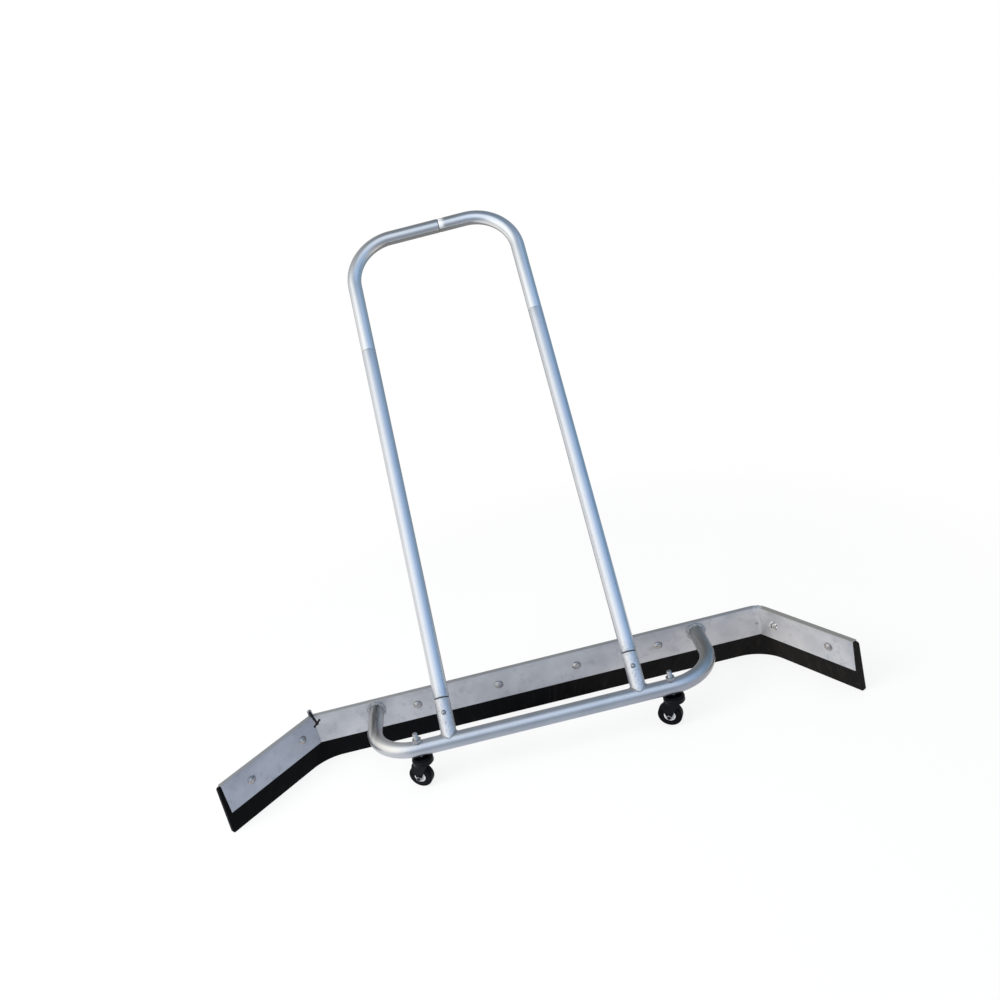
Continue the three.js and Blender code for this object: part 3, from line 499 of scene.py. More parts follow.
def weldMetal():
    # Solidified bead: ripples come from the mesh, with heat tint and a little soot
    material, shader, at = startMaterial("weld bead")
    tint = at.mottle(240, 4, 0.6, 0.35, 0.7)
    soot = at.mottle(900, 3, 0.6, 0.55, 0.75)
    bead = tint.mix(weldFinish["dark"], weldFinish["light"])
    colour = (soot * weldFinish["sootShare"]).mix(bead, weldFinish["soot"])
    connect(shader, colour, tint * 0.2 + weldFinish["smoothest"], soot, 0.3, 0.0003, Metallic=1.0)
    return material


def zincPlate(name, dark, light, smoothest):
    # Plated steel with a faint spangle under a dull mist
    material, shader, at = startMaterial(name)
    spangle = at.node("ShaderNodeTexVoronoi", {}, {"Vector": at, "Scale": 900}, 1)
    mist = at.mottle(500, 3, 0.6, 0.35, 0.75)
    colour = (mist * 0.12 + 0.04).mix(mist.mix(dark, light), spangle)
    connect(shader, colour, mist * 0.12 + smoothest, mist, 0.08, 0.0002, Metallic=1.0)
    return material


coatFinish = {"black": (0.0015, 0.0015, 0.002), "rubbed": (0.04, 0.04, 0.043), "smoothest": 0.18,
              "specular": 0.24}


def blackCoat():
    # Semi-gloss black coating over steel: orange peel and pale rubbed spots
    material, shader, at = startMaterial("black coat")
    peel = at.noise(1500, 2, 0.5)
    rubbed = at.mottle(170, 5, 0.65, 0.63, 0.75)
    colour = (rubbed * 0.3).mix(coatFinish["black"], coatFinish["rubbed"])
    connect(shader, colour, rubbed * 0.2 + coatFinish["smoothest"], peel, 0.15, 0.0003,
            Metallic=0.0, Specular_IOR_Level=coatFinish["specular"])
    return material


# Towards the right the strip is painted paler: dust with a painted sheen
rubberFinish = {"black": (0.0010, 0.0011, 0.0016), "wiped": (0.016, 0.016, 0.017),
                "dustAndSheen": (0.036, 0.031, 0.026), "dustRise": (0.002, 0.028), "dustAndSheenSide": (-0.3, 0.75),
                "smoothest": 0.5, "specular": 0.09}


def bladeRubber():
    # Moulded strip: dull skin, vertical wiping marks, dust that gathers low down, and dust with a painted
    # sheen that grows towards the right
    material, shader, at = startMaterial("blade rubber")
    wipes = at.output("UV").stretched(170, 9, 1).mottle(1, 4, 0.6, 0.45, 0.8)
    dustAndSheen = at.mottle(60, 6, 0.7, 0.5, 0.8)
    low = 1 - at.axis("Z").between(*rubberFinish["dustRise"])
    dustAndSheenToRight = at.axis("X").between(*rubberFinish["dustAndSheenSide"])
    skin = at.noise(1100, 3, 0.6)
    clean = (wipes * 0.25 + dustAndSheen * low * 0.5).mix(rubberFinish["black"], rubberFinish["wiped"])
    # Dust and a painted sheen, growing towards the right
    colour = (dustAndSheenToRight * (dustAndSheen * 0.5 + wipes * 0.3 + 0.2)).mix(clean, rubberFinish["dustAndSheen"])
    roughness = wipes * 0.12 + dustAndSheen * 0.1 + rubberFinish["smoothest"]
    connect(shader, colour, roughness, skin * 0.6 + wipes * 0.4, 0.2, 0.0003,
            Metallic=0.0, Specular_IOR_Level=rubberFinish["specular"])
    return material


tyreFinish = {"black": (0.0015, 0.0015, 0.002), "scuffed": (0.024, 0.023, 0.022), "smoothest": 0.34,
              "specular": 0.12}


def wheelRubber():
    # Tyre: near black with paler scuffs
    material, shader, at = startMaterial("wheel rubber")
    scuff = at.mottle(260, 5, 0.7, 0.5, 0.75)
    skin = at.noise(1400, 2, 0.5)
    colour = (scuff * 0.4).mix(tyreFinish["black"], tyreFinish["scuffed"])
    connect(shader, colour, scuff * 0.15 + tyreFinish["smoothest"], skin + scuff, 0.15, 0.0003,
            Metallic=0.0, Specular_IOR_Level=tyreFinish["specular"])
    return material


nylonFinish = {"dark": (0.76, 0.77, 0.78), "light": (0.86, 0.87, 0.88), "darkPatches": (0.25, 0.24, 0.23),
               "smoothest": 0.34}


def hubNylon():
    # Natural nylon: milky, slightly uneven, dusty in patches
    material, shader, at = startMaterial("hub nylon")
    milk = at.noise(90, 3, 0.5).mix(nylonFinish["dark"], nylonFinish["light"])
    darkPatches = at.mottle(420, 4, 0.65, 0.56, 0.75)
    colour = (darkPatches * 0.3).mix(milk, nylonFinish["darkPatches"])
    connect(shader, colour, darkPatches * 0.2 + nylonFinish["smoothest"], darkPatches, 0.1, 0.0002, Metallic=0.0)
    return material


springFinish = {"dark": (0.20, 0.22, 0.26), "light": (0.42, 0.43, 0.45), "smoothest": 0.25}


def springSteel():
    # Blued strip with rolling lines
    material, shader, at = startMaterial("spring steel")
    rolling = at.stretched(1, 1, 20).noise(120, 3, 0.6)
    colour = rolling.mix(springFinish["dark"], springFinish["light"])
    connect(shader, colour, rolling * 0.15 + springFinish["smoothest"], rolling, 0.1, 0.0002, Metallic=1.0)
    return material


finishes = {
    "leg": tubeAluminium("leg aluminium", tubeFinish, 0.0, scuffed=0.8),
    "bend": tubeAluminium("upper bend aluminium", bendFinish, 0.0, handled=0.55),
    "base": tubeAluminium("base tube aluminium", baseFinish, 0.25, smeared=0.9),
    "sanded": tubeAluminium("sanded tube aluminium", sandedFinish, 1.0),
    "glintDrops": tubeAluminium("weld drops with painted glints", glintDropFinish, 0.2),
    "sleeve": tubeAluminium("sleeve painted as shade", sleeveShadeFinish, 0.5),
    "weld": weldMetal(),
    "zinc": zincPlate("zinc plate", (0.46, 0.46, 0.46), (0.74, 0.74, 0.73), 0.08),
    "bolt": zincPlate("weathered zinc", (0.50, 0.47, 0.43), (0.80, 0.76, 0.71), 0.20),
    "black": blackCoat(),
    "rubber": bladeRubber(),
    "tyre": wheelRubber(),
    "nylon": hubNylon(),
    "spring": springSteel(),
}
print("materials made:", len(finishes))


# Blade

blade = {"centreLength": 0.998, "wingLength": 0.2445, "angles": {"left": 45, "right": 59},
         "foot": 0.045, "top": 0.113, "half": 0.0063, "wall": 0.002, "cornerRadius": 0.0011,
         "seams": {"left": 0.0003, "right": 0.00004},
         "rubberThickness": 0.008, "rubberTop": 0.1107, "tip": 0.0125, "topTip": 0.0075, "tipRound": 0.0045,
         "edgeBend": 0.100, "slotBend": 0.0044, "leastRadius": 0.0003, "edge": 0.00025,
         "rubberEdge": 0.0007}


def channelSection(offset):
    # The inverted U, walked from the front foot over the web to the back foot, a set depth below its skin
    foot, top, half = blade["foot"], blade["top"] - offset, blade["half"] - offset
    radius = max(blade["cornerRadius"] - offset, blade["leastRadius"])
    a = np.linspace(0, pi / 2, 6)
    rise = np.linspace(foot, top - radius, 7)[:-1]
    web = np.linspace(-half + radius, half - radius, 4)[1:-1]
    front = np.stack([np.full(6, -half), rise], -1)
    first = np.stack([-half + radius * (1 - np.cos(a)), top - radius * (1 - np.sin(a))], -1)
    middle = np.stack([web, np.full(2, top)], -1)
    return np.vstack([front, first, middle, (first * [-1, 1])[::-1], (front * [-1, 1])[::-1]])


# The right elbow is ground round: radius in plan at the back, dip of the web with its reach along the blade
# and its depth, and the stretch that has dense rows
groundElbow = {"radius": 0.021, "dip": 0.0017, "dipReach": 0.012, "dipDepth": 0.012, "dense": 0.03}


def grind(x, y, z, fromElbow, direction):
    # Slides a point of the back wall onto an arc of the plan radius, less towards the front, and dips the web
    half, bend = blade["half"], radians(blade["angles"]["right"]) / 2
    radius = groundElbow["radius"]
    tangent = radius * tan(bend)
    turn = bend * (1 - np.clip(fromElbow / tangent, 0, 1))
    weight = ease((y + half) / (2 * half))
    inward = np.minimum(fromElbow, tangent) - tangent + radius * np.sin(turn)
    depth = groundElbow["dipDepth"]
    dip = np.exp(-(fromElbow / groundElbow["dipReach"]) ** 2) * ease((z - blade["top"] + depth) / depth)
    return (x - direction * inward * -weight, y - radius * (1 - np.cos(turn)) * weight,
            z - groundElbow["dip"] * dip)


def channelPiece(node, start, end, startSlope, endSlope, place, stations=40, ground=None):
    # Section carried along X; each end slides by its slope times the distance from the middle line
    share = np.linspace(0, 1, stations)
    if ground:
        near = np.linspace(0, groundElbow["dense"] / (end - start), 24)
        share = np.unique(np.concatenate([share, near if ground == "start" else 1 - near]))
    share = share[:, None]
    walls = []
    for offset in (0, blade["wall"]):
        section = channelSection(offset)
        y, z = section[None, :, 0], section[None, :, 1]
        low, high = start + y * startSlope, end + y * endSlope
        x = low + (high - low) * share
        y, z = np.broadcast_to(y, x.shape), np.broadcast_to(z, x.shape)
        if ground == "end":
            x, y, z = grind(x, y, z, high - x, 1)
        elif ground == "start":
            x, y, z = grind(x, y, z, x - low, -1)
        walls.append(np.stack([x, y, z], -1))
    around = np.concatenate([[0], np.cumsum(np.linalg.norm(np.diff(channelSection(0), axis=0), axis=1))])
    along = start + (end - start) * share[:, 0]
    parts = thickSheet(walls[0], walls[1], along, around)
    makePiece(node + "_skin", parts, node.removesuffix("_channel"), root, [node],
              bevel=blade["edge"], place=place)


def wingPlace(side, angle):
    turn = -side * radians(angle)
    return Matrix.Translation((side * blade["centreLength"] / 2, 0, 0)) @ Matrix.Rotation(turn, 4, "Z")


bolt = {"centre": {"centre_far_left": -0.269, "centre_left": -0.087, "centre_right": 0.087,
                   "centre_far_right": 0.269}, "wing": {"inner": 0.044, "outer": 0.182},
        "level": 0.079, "face": 0.0066, "radius": 0.003, "across": 0.010, "headHeight": 0.0040,
        "flangeRadius": 0.008, "flange": 0.0013, "slope": 0.0009,
        "nutHeight": 0.005, "tail": 0.0025, "pitch": 0.001, "threadDepth": 0.00045,
        "rimShares": [(0.99, 0), (1, 0.12), (0.97, 0.3)], "waistShare": 0.35}


# Each section's tone, which paints it lighter or darker as light and shade fall on it, and the painted shade
# on its web
sectionLightAndShade = {"left_wing": ((0.67, 0.71, 0.78), (0.46, 0.46, 0.46)),
            "centre": ((0.92, 0.92, 0.92), (0.50, 0.50, 0.50)),
            "right_wing": ((1.08, 1.08, 1.07), (0.57, 0.52, 0.44)),
            "elbow": ((1.0, 1.0, 1.0), (0.46, 0.44, 0.40))}


def boltPlaces():
    # Each bolt's name, its section, and the place of its axis on the blade's middle plane
    for name, x in bolt["centre"].items():
        yield name, "centre", Matrix.Translation((x, 0, 0))
    for sideName, side in sides.items():
        for name, x in bolt["wing"].items():
            place = wingPlace(side, blade["angles"][sideName]) @ Matrix.Translation((side * x, 0, 0))
            yield f"{sideName}_wing_{name}", sideName + "_wing", place


def makeSectionFinishes():
    aside = Vector((boltShadow["aside"], -blade["half"], bolt["level"] + boltShadow["rise"]))
    for section, (tone, web) in sectionLightAndShade.items():
        spots = [tuple(place @ aside) for _, home, place in boltPlaces() if home == section]
        finishes[section] = channelAluminium(section.replace("_", " ") + " aluminium", tone, web, spots)


def makeChannels():
    half = blade["centreLength"] / 2
    slope = {name: tan(radians(angle) / 2) for name, angle in blade["angles"].items()}
    seam = {name: blade["seams"][name] / 2 * hypot(1, s) for name, s in slope.items()}
    channelPiece("centre_channel", -half + seam["left"], half - seam["right"], -slope["left"], slope["right"],
                 Matrix.Identity(4), 90, "end")
    channelPiece("left_wing_channel", -blade["wingLength"], -seam["left"], 0, slope["left"],
                 wingPlace(-1, blade["angles"]["left"]))
    channelPiece("right_wing_channel", seam["right"], blade["wingLength"], -slope["right"], 0,
                 wingPlace(1, blade["angles"]["right"]), 40, "start")


elbowWeld = {"radius": 0.0021, "sinks": {"left": 0.0012, "right": 0.0044}, "ripples": 46, "ripple": 0.10,
             "inset": 0.001, "taperShare": 0.02}
# Fillet in the front of the right elbow, tight at the foot and wide at the top
elbowFillet = {"footRadius": 0.003, "topRadius": 0.017, "top": 0.0022, "lift": 0.00004, "sink": 0.0012,
               "foot": 0.0006, "spread": 1.3, "skinShare": 0.1, "mapWidth": 0.02}


def makeElbowWelds():
    # Upright bead on each elbow's back corner, its radius waving with the height
    for name, side in sides.items():
        bisector = radians(blade["angles"][name]) / 2
        reach = blade["half"] / cos(bisector) - elbowWeld["sinks"][name]
        rows = np.linspace(0, 1, 190)
        wave = 1 + elbowWeld["ripple"] * np.abs(np.sin(rows * pi * elbowWeld["ripples"]))
        taper = np.sqrt(np.clip(np.minimum(rows, 1 - rows) / elbowWeld["taperShare"], 0, 1))
        inset = elbowWeld["inset"]
        heights = blade["foot"] + inset + rows * (blade["top"] - blade["foot"] - 2 * inset)
        bead = turned(elbowWeld["radius"] * wave * taper, heights, 24)
        place = Matrix.Translation((side * (blade["centreLength"] / 2 + reach * sin(bisector)),
                                    reach * cos(bisector), 0))
        makePiece(name + "_elbow_weld", [bead], "weld", root, place=place)


def makeElbowFillet():
    # Each level is an arc that touches both front faces: centre + radius * (cos, sin) over the bend's angle
    bend = radians(blade["angles"]["right"]) / 2
    share = np.linspace(0, 1, 18)[:, None]
    low, wide = elbowFillet["footRadius"], elbowFillet["topRadius"]
    radius = low + (wide - low) * share ** elbowFillet["spread"]
    foot = elbowFillet["foot"]
    level = blade["foot"] + foot + (blade["top"] - elbowFillet["top"] - blade["foot"] - foot) * share
    face = blade["half"] + elbowFillet["lift"]
    angle = pi / 2 - bend + np.linspace(-bend, bend, 15)[None, :]
    away = np.array([-sin(bend), -cos(bend)])
    middle = (face + radius) / cos(bend)
    x = blade["centreLength"] / 2 + away[0] * middle + radius * np.cos(angle)
    y = away[1] * middle + radius * np.sin(angle)
    arc = np.stack([x, y, np.broadcast_to(level, x.shape)], -1)
    corner = np.stack([blade["centreLength"] / 2 + away[0] * (face - elbowFillet["sink"]) / cos(bend) + 0 * x,
                       away[1] * (face - elbowFillet["sink"]) / cos(bend) + 0 * x, arc[..., 2]], -1)
    back = arc * elbowFillet["skinShare"] + corner * (1 - elbowFillet["skinShare"])
    along = np.linspace(0, elbowFillet["mapWidth"], 15)
    makePiece("right_elbow_fillet", thickSheet(arc, back, level[:, 0], along), "elbow", root)


spatter = {"count": 8, "turn": 2.4, "near": 0.0088, "far": 0.0118, "size": 0.0024, "stretch": 0.8,
           "lift": -0.0002, "sizeSpread": 0.5, "sizeStep": 0.37, "heightShare": 0.7}


def tipReach(level):
    # Slanted end, longest at the free edge, whose two corners are rounded by r - sqrt(r^2 - d^2)
    top, soft = blade["rubberTop"], blade["tipRound"]
    slant = blade["tip"] + (blade["topTip"] - blade["tip"]) * level / top
    depth = max(0, soft - min(level, top - level))
    return slant - (soft - sqrt(soft ** 2 - depth ** 2))


def stripPath(radius, level):
    half = blade["centreLength"] / 2
    reach = blade["wingLength"] + tipReach(level)
    tips = [(side * (half + reach * cos(radians(blade["angles"][name]))),
             -reach * sin(radians(blade["angles"][name])), 0) for name, side in sides.items()]
    return roundedPath([tips[0], (-half, 0, 0), (half, 0, 0), tips[1]], radius, 26)


def makeRubber():
    # Each level is the blade's plan path with its own corner radius, tight in the slot and wide at the foot
    soft, top = blade["tipRound"], blade["rubberTop"]
    corner = soft * (1 - np.cos(np.linspace(0, pi / 2, 7)))
    levels = np.concatenate([corner, np.linspace(soft, blade["foot"], 10)[1:], (top - corner)[::-1]])
    faces = {-1: [], 1: []}
    for level in levels:
        free = max(0, 1 - level / blade["foot"])
        bend = blade["slotBend"] + (blade["edgeBend"] - blade["slotBend"]) * free
        points, tangents = stripPath(bend, level)
        across = np.stack([-tangents[:, 1], tangents[:, 0], 0 * tangents[:, 0]], -1)
        for side in faces:
            faces[side].append(points + across * side * blade["rubberThickness"] / 2 + [0, 0, level])
    along = np.concatenate([[0], np.cumsum(np.linalg.norm(np.diff(points, axis=0), axis=1))])
    parts = thickSheet(np.stack(faces[-1], 1), np.stack(faces[1], 1), along, levels)
    makePiece("blade_rubber", parts, "rubber", root, ["rubber_strip"],
              bevel=blade["rubberEdge"])


def boltHead(count=96):
    # Flange cone, then a hexagon that closes in a low dome: radius * cos(a) over rise * sin(a)
    face, flange, height = bolt["face"], bolt["flange"], bolt["headHeight"]
    hexagon, circle = hexRadius(bolt["across"], count), np.full(count, bolt["across"] / 2)
    rim, base, top = bolt["flangeRadius"], face + flange, face + flange + height
    rows = [(0, face)] + [(rim * wide, face + flange * up) for wide, up in bolt["rimShares"]]
    rows.append((hexagon, base + bolt["slope"]))
    waist = base + height * bolt["waistShare"]
    for a in np.linspace(0, pi / 2, 10)[:-1]:
        rounding = sin(a) ** 0.5
        rows.append(((hexagon * (1 - rounding) + circle * rounding) * cos(a), waist + (top - waist) * sin(a)))
    return turnedProfile([*rows, (0, top)], count)


def makeBolts():
    # A bolt's own +Z points forward, out of the blade
    end = -(bolt["face"] + bolt["nutHeight"] + bolt["tail"])
    shank = threadedRod(bolt["radius"], end, bolt["face"], bolt["pitch"], bolt["threadDepth"], 24)
    nut = hexNut(bolt["across"], -bolt["face"] - bolt["nutHeight"], -bolt["face"], bolt["radius"])
    for name, _, place in boltPlaces():
        spot = place @ Matrix.Translation((0, 0, bolt["level"])) @ faceForward
        makePiece(name + "_bolt_skin", [boltHead(), shank], "bolt", root, [name + "_bolt"],
                  place=spot)
        makePiece(name + "_nut_skin", [nut], "zinc", root, [name + "_nut"], place=spot)


rivet = {"inset": 0.009, "level": 0.073, "radius": 0.002, "headRadius": 0.004, "headHeight": 0.0014,
         "foot": 0.0048}


def makeRivet():
    # Domed head: height * sqrt(1 - share^2) over a short shank
    share = np.linspace(1, 0, 12)
    face = bolt["face"]
    radii = np.concatenate([[0, rivet["radius"], rivet["radius"]], rivet["headRadius"] * share])
    dome = face + rivet["headHeight"] * np.sqrt(1 - share ** 2)
    heights = np.concatenate([[rivet["foot"], rivet["foot"], face], dome])
    place = Matrix.Translation((blade["centreLength"] / 2 - rivet["inset"], 0, rivet["level"]))
    makePiece("rivet_skin", [turned(radii, heights, 40)], "zinc", root, ["right_elbow_rivet"],
              place=place @ faceForward)


def makeSpatter():
    # Small weld drops round the right wing's inner bolt, coloured near white as painted glints, each a dome:
    # size * sin(a) over rise * cos(a)
    a = np.linspace(0, pi / 2, 6)
    glintDrops = []
    for i in range(spatter["count"]):
        turn = spatter["turn"] * i
        away = spatter["near"] + (spatter["far"] - spatter["near"]) * sqrt(i / spatter["count"])
        size = spatter["size"] * (1 - spatter["sizeSpread"] * ((i * spatter["sizeStep"]) % 1))
        rise = size * spatter["heightShare"]
        drop = turned(size * np.sin(a), spatter["lift"] + rise * np.cos(a), 14)
        spot = [away * cos(turn), spatter["stretch"] * away * sin(turn), blade["half"]]
        drop["points"] = drop["points"] + spot
        glintDrops.append(drop)
    middle = Matrix.Translation((bolt["wing"]["inner"], 0, bolt["level"]))
    place = wingPlace(1, blade["angles"]["right"]) @ middle @ faceForward
    makePiece("right_wing_spatter", glintDrops, "glintDrops", root, place=place)


makeSectionFinishes()
makeChannels()
makeElbowWelds()
makeElbowFillet()
makeSpatter()
makeRubber()
makeBolts()
makeRivet()
print("blade made")


# T-bar screw on the left elbow

screw = {"heading": 24, "setback": 0.0025, "rise": 0.0063, "radius": 0.0026, "length": 0.0505, "tail": 0.0063,
         "pitch": 0.0008, "threadDepth": 0.0004, "eyeRadius": 0.0033, "eyeLength": 0.006, "eyeEdge": 0.0009,
         "eyeSink": 0.0004, "gap": 0.0003, "nutAcross": 0.010, "nutHeight": 0.004}
lug = {"width": 0.010, "thickness": 0.003, "height": 0.011, "rise": 0.006, "edge": 0.0003, "edgeShare": 0.96}
bar = {"radius": 0.0021, "length": 0.021, "capRadius": 0.0025, "capLength": 0.0025, "tilt": 35,
       "capShares": [(0, 0), (0.7, 0), (0.93, 0.12), (1, 0.35), (1, 0.7), (0.93, 0.92)]}


def screwPlace():
    # Own +Z points forward along the screw, +X is level
    turn = radians(screw["heading"])
    forward = Vector((sin(turn), -cos(turn), 0))
    seat = Vector((-blade["centreLength"] / 2, 0, blade["top"] + screw["rise"])) - forward * screw["setback"]
    return placing(seat, (cos(turn), sin(turn), 0), (0, 0, 1), forward)


def screwLug():
    # Ring about the screw whose outline is a flat-footed arch: the nearer of its foot, sides and round top
    count, least = 96, 1e-6
    angle = np.linspace(0, 2 * pi, count, endpoint=False)
    halfWidth, crown = lug["width"] / 2, lug["height"] - lug["rise"]
    sideReach = halfWidth / np.maximum(np.abs(np.cos(angle)), least)
    footReach = np.where(np.sin(angle) < 0, lug["rise"] / np.maximum(-np.sin(angle), least), 1)
    outline = np.where(np.sin(angle) > 0, crown, np.minimum(sideReach, footReach))
    bore, face, inset = screw["radius"] + screw["gap"], lug["thickness"] / 2, outline * lug["edgeShare"]
    rim = face - lug["edge"]
    return turnedProfile([(bore, face), (inset, face), (outline, rim), (outline, -rim), (inset, -face),
                          (bore, -face)], count, True)


def screwEye(middle):
    # Round boss that holds the bar, with softened rims
    radius, soft = screw["eyeRadius"], screw["eyeEdge"]
    low, high = middle - screw["eyeLength"] / 2, middle + screw["eyeLength"] / 2
    return turnedProfile([(0, low), (radius - soft, low), (radius, low + soft), (radius, high - soft),
                          (radius - soft, high), (0, high)], 40)


def handBar():
    # Rod with a rounded cap at each end
    half, cap = bar["length"] / 2, bar["capRadius"]
    end = [(cap * wide, -half + bar["capLength"] * up) for wide, up in bar["capShares"]]
    end.append((bar["radius"], -half + bar["capLength"]))
    return turnedProfile(end + [(r, -z) for r, z in reversed(end)], 36)


def makeScrew():
    place = screwPlace()
    makePiece("screw_lug_skin", [screwLug()], "zinc", root, ["screw_lug"], place=place)
    back, middle = -lug["thickness"] / 2, lug["thickness"] / 2 + screw["length"]
    end = middle - screw["eyeLength"] / 2 + screw["eyeSink"]
    shaft = threadedRod(screw["radius"], back - screw["tail"], end, screw["pitch"], screw["threadDepth"],
                        24, 6)
    makePiece("t_screw_skin", [shaft, screwEye(middle)], "black", "screw_body", ["t_screw"],
              place=place)
    across = Matrix.Rotation(radians(bar["tilt"]), 4, "Z") @ Matrix.Rotation(pi / 2, 4, "Y")
    makePiece("t_bar_skin", [handBar()], "black", "screw_body", ["t_bar"],
              place=place @ Matrix.Translation((0, 0, middle)) @ across)
    front = back - screw["gap"]
    nut = hexNut(screw["nutAcross"], front - screw["nutHeight"], front, screw["radius"])
    makePiece("t_screw_nut_skin", [nut], "zinc", root, ["t_screw_nut"], place=place)


makeScrew()
print("screw made")


# Base tube

base = {"radius": 0.016, "wall": 0.0025, "halfWidth": 0.357, "bar": -0.1803, "height": 0.091,
        "face": -0.0066, "bendRadius": 0.095, "lip": 0.0003}
# Fillet round each end of the base tube; a lump is its share, its count round the seam and its phase
baseWeld = {"size": 0.0050, "ripples": 30, "rippleShare": 0.10, "lumps": [(0.13, 9, 0.6), (0.10, 5, 1)],
            "clear": 0.0002, "widthShare": 0.9, "underShare": 0.15, "lift": 0.0001}


def makeBase():
    ends = [(x, y, base["height"]) for x, y in (
        (-base["halfWidth"], base["face"]), (-base["halfWidth"], base["bar"]),
        (base["halfWidth"], base["bar"]), (base["halfWidth"], base["face"]))]
    points, tangents = roundedPath(ends, base["bendRadius"], 34)
    wall = tubeWall(points, tangents, (0, 0, 1), base["radius"], base["radius"] - base["wall"],
                    base["lip"], 72)
    makePiece("base_tube_skin", [wall], "base", root, ["base_tube"])


def makeBaseWelds():
    # Fillet ring round each end: a flattened torus whose thickness ripples along the seam
    count, rows = 152, 14
    angle = np.linspace(0, 2 * pi, count, endpoint=False)[None, :]
    roll = np.linspace(0, 2 * pi, rows, endpoint=False)[:, None]
    lumps = sum(share * np.sin(angle * waves + phase) for share, waves, phase in baseWeld["lumps"])
    ripples = baseWeld["rippleShare"] * np.sin(angle * baseWeld["ripples"])
    size = baseWeld["size"] * (1 + ripples + lumps)
    radii = base["radius"] + baseWeld["clear"] + size * baseWeld["widthShare"] * np.cos(roll)
    heights = size * np.maximum(np.sin(roll), -baseWeld["underShare"])
    ring = turned(radii, heights, count, True)
    for name, side in sides.items():
        place = Matrix.Translation((side * base["halfWidth"], base["face"] + baseWeld["lift"],
                                    base["height"]))
        makePiece(name + "_base_weld", [ring], "weld", root,
                  place=place @ faceForward)


# Handle, in its own frame: +Z up the legs, -Y forward

handle = {"lean": 40, "halfWidth": 0.196, "wall": 0.001, "stub": 0.085, "jointGap": 0.0022, "gap": 0.0003,
          "leg": 0.8011, "archRise": 0.277, "bendRadius": 0.105, "topJoint": 0.028, "topGap": 0.0016,
          "saddleGap": 0.0003, "shoulder": (0.0009, 0.006), "legLip": (0.0008, 0.003), "legEdge": 0.0006,
          "bendEdge": 0.0005}
handlePlace = (Matrix.Translation((0, base["bar"], base["height"]))
               @ Matrix.Rotation(-radians(handle["lean"]), 4, "X"))


stubWeld = {"size": 0.0036, "ripples": 30, "rippleShare": 0.09, "sideShare": 0.35, "overlap": 0.0002,
            "pullOut": 0.0007, "pullUp": 0.0004, "sink": 0.0008}


def stubFillet():
    # Concave fillet along the saddle: a parabola from the stub to the base tube, thin at its sides
    ring = np.linspace(0, 2 * pi, 180, endpoint=False)
    radius, clear = base["radius"], base["radius"] + handle["saddleGap"]
    away = np.stack([np.cos(ring), np.sin(ring), 0 * ring], -1)
    height = np.sqrt(np.maximum(clear ** 2 - (radius * np.sin(ring)) ** 2, 0))
    corner = away * radius + np.stack([0 * ring, 0 * ring, height], -1)
    slide = np.sin(ring) * height / clear
    out = np.stack([np.cos(ring), slide * height / clear, -slide * radius * np.sin(ring) / clear], -1)
    size = (stubWeld["size"] * (1 + stubWeld["rippleShare"] * np.sin(ring * stubWeld["ripples"])))[:, None]
    side, over = stubWeld["sideShare"], stubWeld["overlap"]
    high = corner + [0, 0, 1] * size * (side + (1 - side) * np.abs(np.cos(ring)))[:, None] - away * over
    low = corner + out * size - [0, 0, over]
    pull = corner + away * stubWeld["pullOut"] + [0, 0, stubWeld["pullUp"]]
    t = np.linspace(0, 1, 9)[:, None, None]
    curve = (1 - t) ** 2 * high + 2 * t * (1 - t) * pull + t ** 2 * low
    hidden = corner - away * stubWeld["sink"] - [0, 0, stubWeld["sink"]]
    return patch(np.concatenate([curve, hidden[None]]), True, True)


button = {"level": 0.056, "radius": 0.004, "proud": 0.0042, "dome": 0.003, "hole": 0.0049, "holePast": 0.002,
          "flange": 0.0111, "flangeRadius": 0.0056, "flangeThickness": 0.0012}


def buttonPlace(side):
    # Own +Z points forward out of the stub
    level = Matrix.Translation((side * handle["halfWidth"], 0, button["level"]))
    return handlePlace @ level @ faceForward


def buttonHole(name, side):
    # Cylinder along the button's axis, past both faces of the stub's front wall
    radius, past = button["hole"], button["holePast"]
    low, high = base["radius"] - handle["wall"] - past, base["radius"] + past
    bore = turnedProfile([(0, low), (radius, low), (radius, high), (0, high)], 48)
    return solidMesh(name + "_button_hole", [bore], buttonPlace(side))


def makeStubs():
    # The wall's foot follows the saddle height sqrt(clear^2 - (r sin a)^2) where it meets the base tube
    count, outer, inner = 96, base["radius"], base["radius"] - handle["wall"]
    angle = np.linspace(0, 2 * pi, count, endpoint=False)
    clear = base["radius"] + handle["saddleGap"]
    foot = lambda r: np.sqrt(np.maximum(clear ** 2 - (r * np.sin(angle)) ** 2, 0))
    shares = np.linspace(0, 1, 30)[:, None]
    top = handle["stub"]
    drop, length = handle["shoulder"]
    lipRows, lipRadii = (a[::-1, None] for a in ovalLip(outer, drop, length))
    outside = foot(outer) + (top - length - foot(outer)) * shares
    inside = (foot(inner) + (top - foot(inner)) * shares)[::-1]
    radii = np.vstack([np.full((29, count), outer), lipRadii + 0 * angle, np.full((30, count), inner)])
    wall = turned(radii, np.vstack([outside[:-1], top - lipRows + 0 * angle, inside]), count, True)
    wall["u"] = np.concatenate([shares[:-1, 0] * top, np.full(len(lipRows), top), shares[::-1, 0] * top, [0]])
    for name, side in sides.items():
        place = handlePlace @ Matrix.Translation((side * handle["halfWidth"], 0, 0))
        makePiece(name + "_stub_skin", [wall], "sanded", root, [name + "_stub"],
                  place=place, hole=buttonHole(name, side))
        makePiece(name + "_stub_weld", [stubFillet()], "weld", root,
                  place=place)


